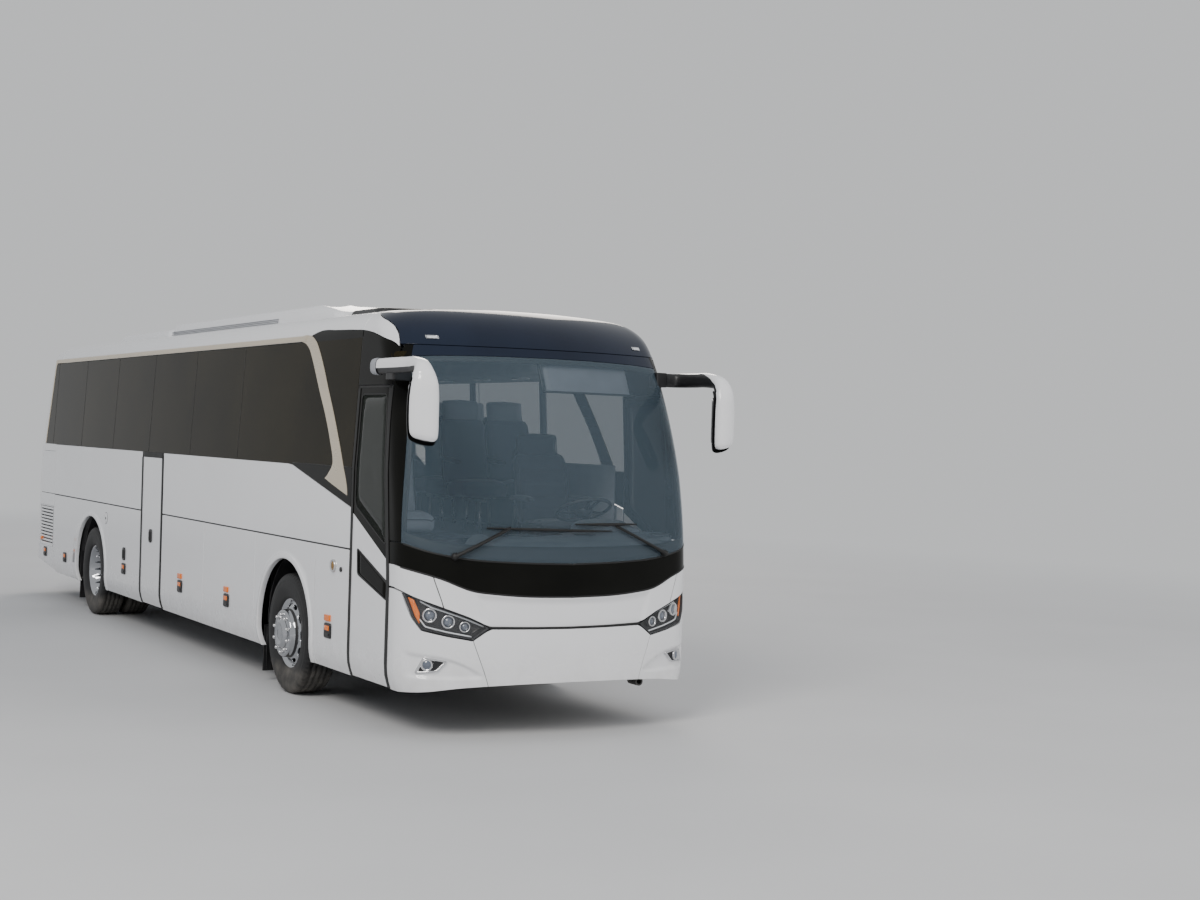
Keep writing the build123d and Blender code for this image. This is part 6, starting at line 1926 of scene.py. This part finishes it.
# %% Pads
def pad(line, width, thick, cells=(14, 20), crown=0.22, bolster=0.0, channels=(), pinch=0.035, square=0.42):
    """A closed stuffed form. u runs along the line of (y, z), and the angle a runs round: across is
    cos(a)^square and through is sin(a)^square, both shrunk at the ends by s = (1 - |2u - 1|^10)^0.5. The
    front swells by crown (1 - across^2)(1 - (2u - 1)^2), and a channel (u, depth) presses it in by a narrow
    bell."""
    line = np.asarray(line, float)
    run = np.concatenate(([0], np.cumsum(np.linalg.norm(np.diff(line, axis=0), axis=1))))
    share = (1 - np.cos(np.pi * np.linspace(0, 1, cells[0] + 1))) / 2
    share = 0.45 * share + 0.55 * np.linspace(0, 1, cells[0] + 1)
    y, z = (smooth_line(list(zip(run / run[-1], column)))(share) for column in line.T)
    way_y, way_z = np.gradient(y), np.gradient(z)
    length = np.hypot(way_y, way_z)
    front_y, front_z = -way_z / length, way_y / length
    a = np.linspace(0, 2 * np.pi, cells[1] + 1)[None]
    across = np.sign(np.cos(a)) * np.abs(np.cos(a)) ** square
    through = np.sign(np.sin(a)) * np.abs(np.sin(a)) ** square
    across[:, -1], through[:, -1] = across[:, 0], through[:, 0]
    eta = (2 * share - 1)[:, None]
    small = np.sqrt(np.maximum(1 - np.abs(eta) ** 10, 0))
    front = np.clip(through, 0, 1)
    x = width / 2 * across * small**0.5 * (1 - pinch * (1 - eta**2))
    swell = (
        1 + front * (crown * (1 - across**2) * (1 - eta**2) + bolster * np.abs(across) ** 5 * (1 - eta**4))
    )
    dents = (
        sum(depth * np.exp(-(((share[:, None] - u) / 0.022) ** 2)) for u, depth in channels) * (1 - across**6)
        if channels else 0
    )
    out = thick / 2 * through * small * swell - dents * front
    return np.stack((x, y[:, None] + front_y[:, None] * out, z[:, None] + front_z[:, None] * out), -1)


def welt(sheet, radius=0.004):
    """The sewn edge of a pad: a thin cord along the rows of points where its front meets its sides."""
    cells = sheet.shape[1] - 1
    right, left = cells // 16, cells // 2 - cells // 16
    path = np.concatenate(
        (
            sheet[2:-2, right], sheet[-3, right + 1 : left], sheet[2:-2, left][::-1],
            sheet[2, right + 1 : left][::-1]
        )
    )
    return tube(path, radius, 6, close=True)


CUSHION = [(0.00, 0.385), (0.16, 0.405), (0.34, 0.395), (0.47, 0.375)]
BACK = [(0.455, 0.42), (0.495, 0.60), (0.545, 0.82), (0.615, 1.05)]
HEADREST = [(0.600, 0.985), (0.636, 1.09), (0.656, 1.215)]
SHELL = [(0.530, 0.33), (0.565, 0.60), (0.615, 0.84), (0.690, 1.12)]


def stuffed(made, cap, rest_y=None, rest_z=None):
    """Fills a pad by a cloth simulation with pressure inside. The pad is remeshed evenly, its resting side
    is held, and no point moves further than the cap."""
    mesh = made.data
    work = bpy.data.objects.new(made.name + "_work", mesh.copy())
    scene.collection.objects.link(work)
    remesh = work.modifiers.new("even", "REMESH")
    remesh.mode, remesh.voxel_size = "VOXEL", 0.006
    even = bpy.data.meshes.new_from_object(work.evaluated_get(bpy.context.evaluated_depsgraph_get()))
    work.modifiers.clear()
    work.data = even
    count = len(even.vertices)
    before = np.empty(count * 3)
    even.vertices.foreach_get("co", before)
    before = before.reshape(-1, 3)
    held = np.zeros(count, bool)
    if rest_z is not None:
        held |= before[:, 2] < rest_z
    if rest_y is not None:
        held |= before[:, 1] > rest_y + (before[:, 2] - before[:, 2].min()) * 0.27
    group = work.vertex_groups.new(name="rest")
    group.add(np.flatnonzero(held).tolist(), 1.0, "REPLACE")
    cloth = work.modifiers.new("cloth", "CLOTH")
    cloth.settings.quality = 3
    cloth.settings.use_pressure = True
    cloth.settings.uniform_pressure_force = 4.0
    cloth.settings.effector_weights.gravity = 0.0
    cloth.settings.vertex_group_mass = "rest"
    cloth.collision_settings.use_collision = False
    cloth.point_cache.frame_start, cloth.point_cache.frame_end = 1, 20
    for number in range(1, 21):
        scene.frame_set(number)
    full = work.evaluated_get(bpy.context.evaluated_depsgraph_get()).data
    after = np.empty(count * 3)
    full.vertices.foreach_get("co", after)
    move = after.reshape(-1, 3) - before
    length = np.linalg.norm(move, axis=1, keepdims=True)
    move *= np.minimum(1, cap / np.maximum(length, 1e-9))
    done = even.copy()
    done.vertices.foreach_set("co", (before + move).ravel())
    form = bmesh.new()
    form.from_mesh(done)
    for _ in range(3):
        bmesh.ops.smooth_vert(
            form, verts=form.verts, factor=0.5, use_axis_x=True, use_axis_y=True, use_axis_z=True
        )
    form.to_mesh(done)
    form.free()
    done.materials.clear()
    done.materials.append(mesh.materials[0])
    done.shade_smooth()
    bpy.data.objects.remove(work)
    made.data = done
    scene.frame_set(1)
    print(f"{made.name}: {count} points, moved at most {1000 * min(length.max(), cap):.1f} mm")


def placed(sheets, x, y, z):
    """Sheets moved to a seat's place."""
    return [sheet + (x, y, z) for sheet in sheets]


# %% The driver's and the guide's seats
CHANNELS = ((0.22, 0.010), (0.40, 0.010), (0.58, 0.010), (0.76, 0.010))
CREW_SEATS = (("driver", FABRIC_DARK, 0.60, -5.00, 1.10, 0.50), ("guide", LEATHER, -0.75, -4.822, 1.16, 0.44))
for seat_name, paint, x, y, z, width in CREW_SEATS:
    forms = (
        ("cushion", pad(CUSHION, width, 0.15, (56, 64), 0.16, 0.22, ((0.35, 0.008), (0.62, 0.008))), 0.85),
        ("back", pad(BACK, width, 0.12, (64, 64), 0.12, 0.75, CHANNELS), 0.8),
        ("headrest", pad(HEADREST, width * 0.80, 0.115, (36, 48), 0.30, square=0.62), 0.85),
    )
    welts = []
    for form_name, form, fullness in forms:
        made = piece(f"{seat_name}_{form_name}", placed([form], x, y, z), paint)
        stuffed(
            made, 0.010, rest_z=z + 0.34 if form_name == "cushion" else None,
            rest_y=y + 0.50 if form_name == "back" else None
        )
        welts += placed(welt(form), x, y, z)
    piece(seat_name + "_welts", welts, TRIM, slot="seat_fabric")
    piece(seat_name + "_shell", placed([pad(SHELL, width * 0.9, 0.035, (20, 28), 0.0)], x, y, z), TRIM)
    under = z - (0.93 if seat_name == "driver" else 1.16)
    frame_parts = box_sheets((x - 0.20, y + 0.06, z + 0.24), (x + 0.20, y + 0.46, z + 0.31), (4, 4, 1))
    folds = [(a, 0.17 + 0.014 * math.cos(a * 130)) for a in np.linspace(-under, 0.24, 40)]
    frame_parts += spun([(-under, 0.0), *folds, (0.24, 0.0)], 32, "z", (x, y + 0.26, z))
    piece(seat_name + "_base", frame_parts, TRIM, edge=0.004)
for sign in (-1, 1):
    arm = pad([(0.14, 0.66), (0.30, 0.67), (0.52, 0.66)], 0.05, 0.045, (24, 20), 0.1)
    made = piece(
        "driver_arm_" + ("right" if sign < 0 else "left"), placed([arm], 0.60 + sign * 0.285, -5.00, 1.10),
        FABRIC_DARK
    )

# %% The passengers' seats
seat_parts = {"cushions": [], "backs": [], "headrests": [], "shells": [], "legs": [], "armrests": []}
base_cushion, base_back = (
    pad(CUSHION, 0.445, 0.15, (10, 16), 0.2, 0.1), pad(BACK, 0.445, 0.12, (12, 16), 0.2, 0.4)
)
base_head, base_shell = (
    pad(HEADREST, 0.37, 0.115, (9, 14), 0.3, square=0.62), pad(SHELL, 0.42, 0.035, (8, 10), 0.0)
)
leg_tubes = (
    tube([(0, 0.10, 0.0), (0, 0.14, 0.30)], 0.016, 8) + tube([(0, 0.42, 0.0), (0, 0.38, 0.30)], 0.016, 8)
    + tube([(0, 0.02, 0.30), (0, 0.46, 0.30)], 0.018, 8)
)
arm_tube = tube(
    [(0, 0.54, 0.70), (0, 0.48, 0.665), (0, 0.30, 0.655), (0, 0.14, 0.64)], (0.018, 0.024, 0.024, 0.016), 8
)
for side in (-1, 1):
    for row in range(SEAT_ROWS):
        y = -3.70 + SEAT_PITCH * row
        if side < 0 and -0.2 < y < 1.3:  # the stairs of the middle door
            continue
        middle = side * 0.705
        for x in (middle - 0.23, middle + 0.23):
            for key, form in (
                ("cushions", base_cushion), ("backs", base_back), ("headrests", base_head),
                ("shells", base_shell)
            ):
                seat_parts[key] += placed([form], x, y, DECK_Z)
        for x in (middle - 0.25, middle + 0.25):
            seat_parts["legs"] += placed(leg_tubes, x, y, DECK_Z)
        for x in (middle - 0.455, middle, middle + 0.455):
            seat_parts["armrests"] += placed(arm_tube, x, y, DECK_Z)
SEAT_LOOKS = (
    ("cushions", FABRIC, 0.8), ("backs", FABRIC, 0.75), ("headrests", LEATHER, 0.85), ("shells", TRIM, None),
    ("legs", STEEL, None), ("armrests", TRIM, None),
)
for key, paint, fullness in SEAT_LOOKS:
    made = piece(
        "passenger_" + key, seat_parts[key], paint, stands_for=["seats"] if key == "cushions" else ()
    )
print("seats ready:", len(seat_parts["cushions"]), "passenger seats")
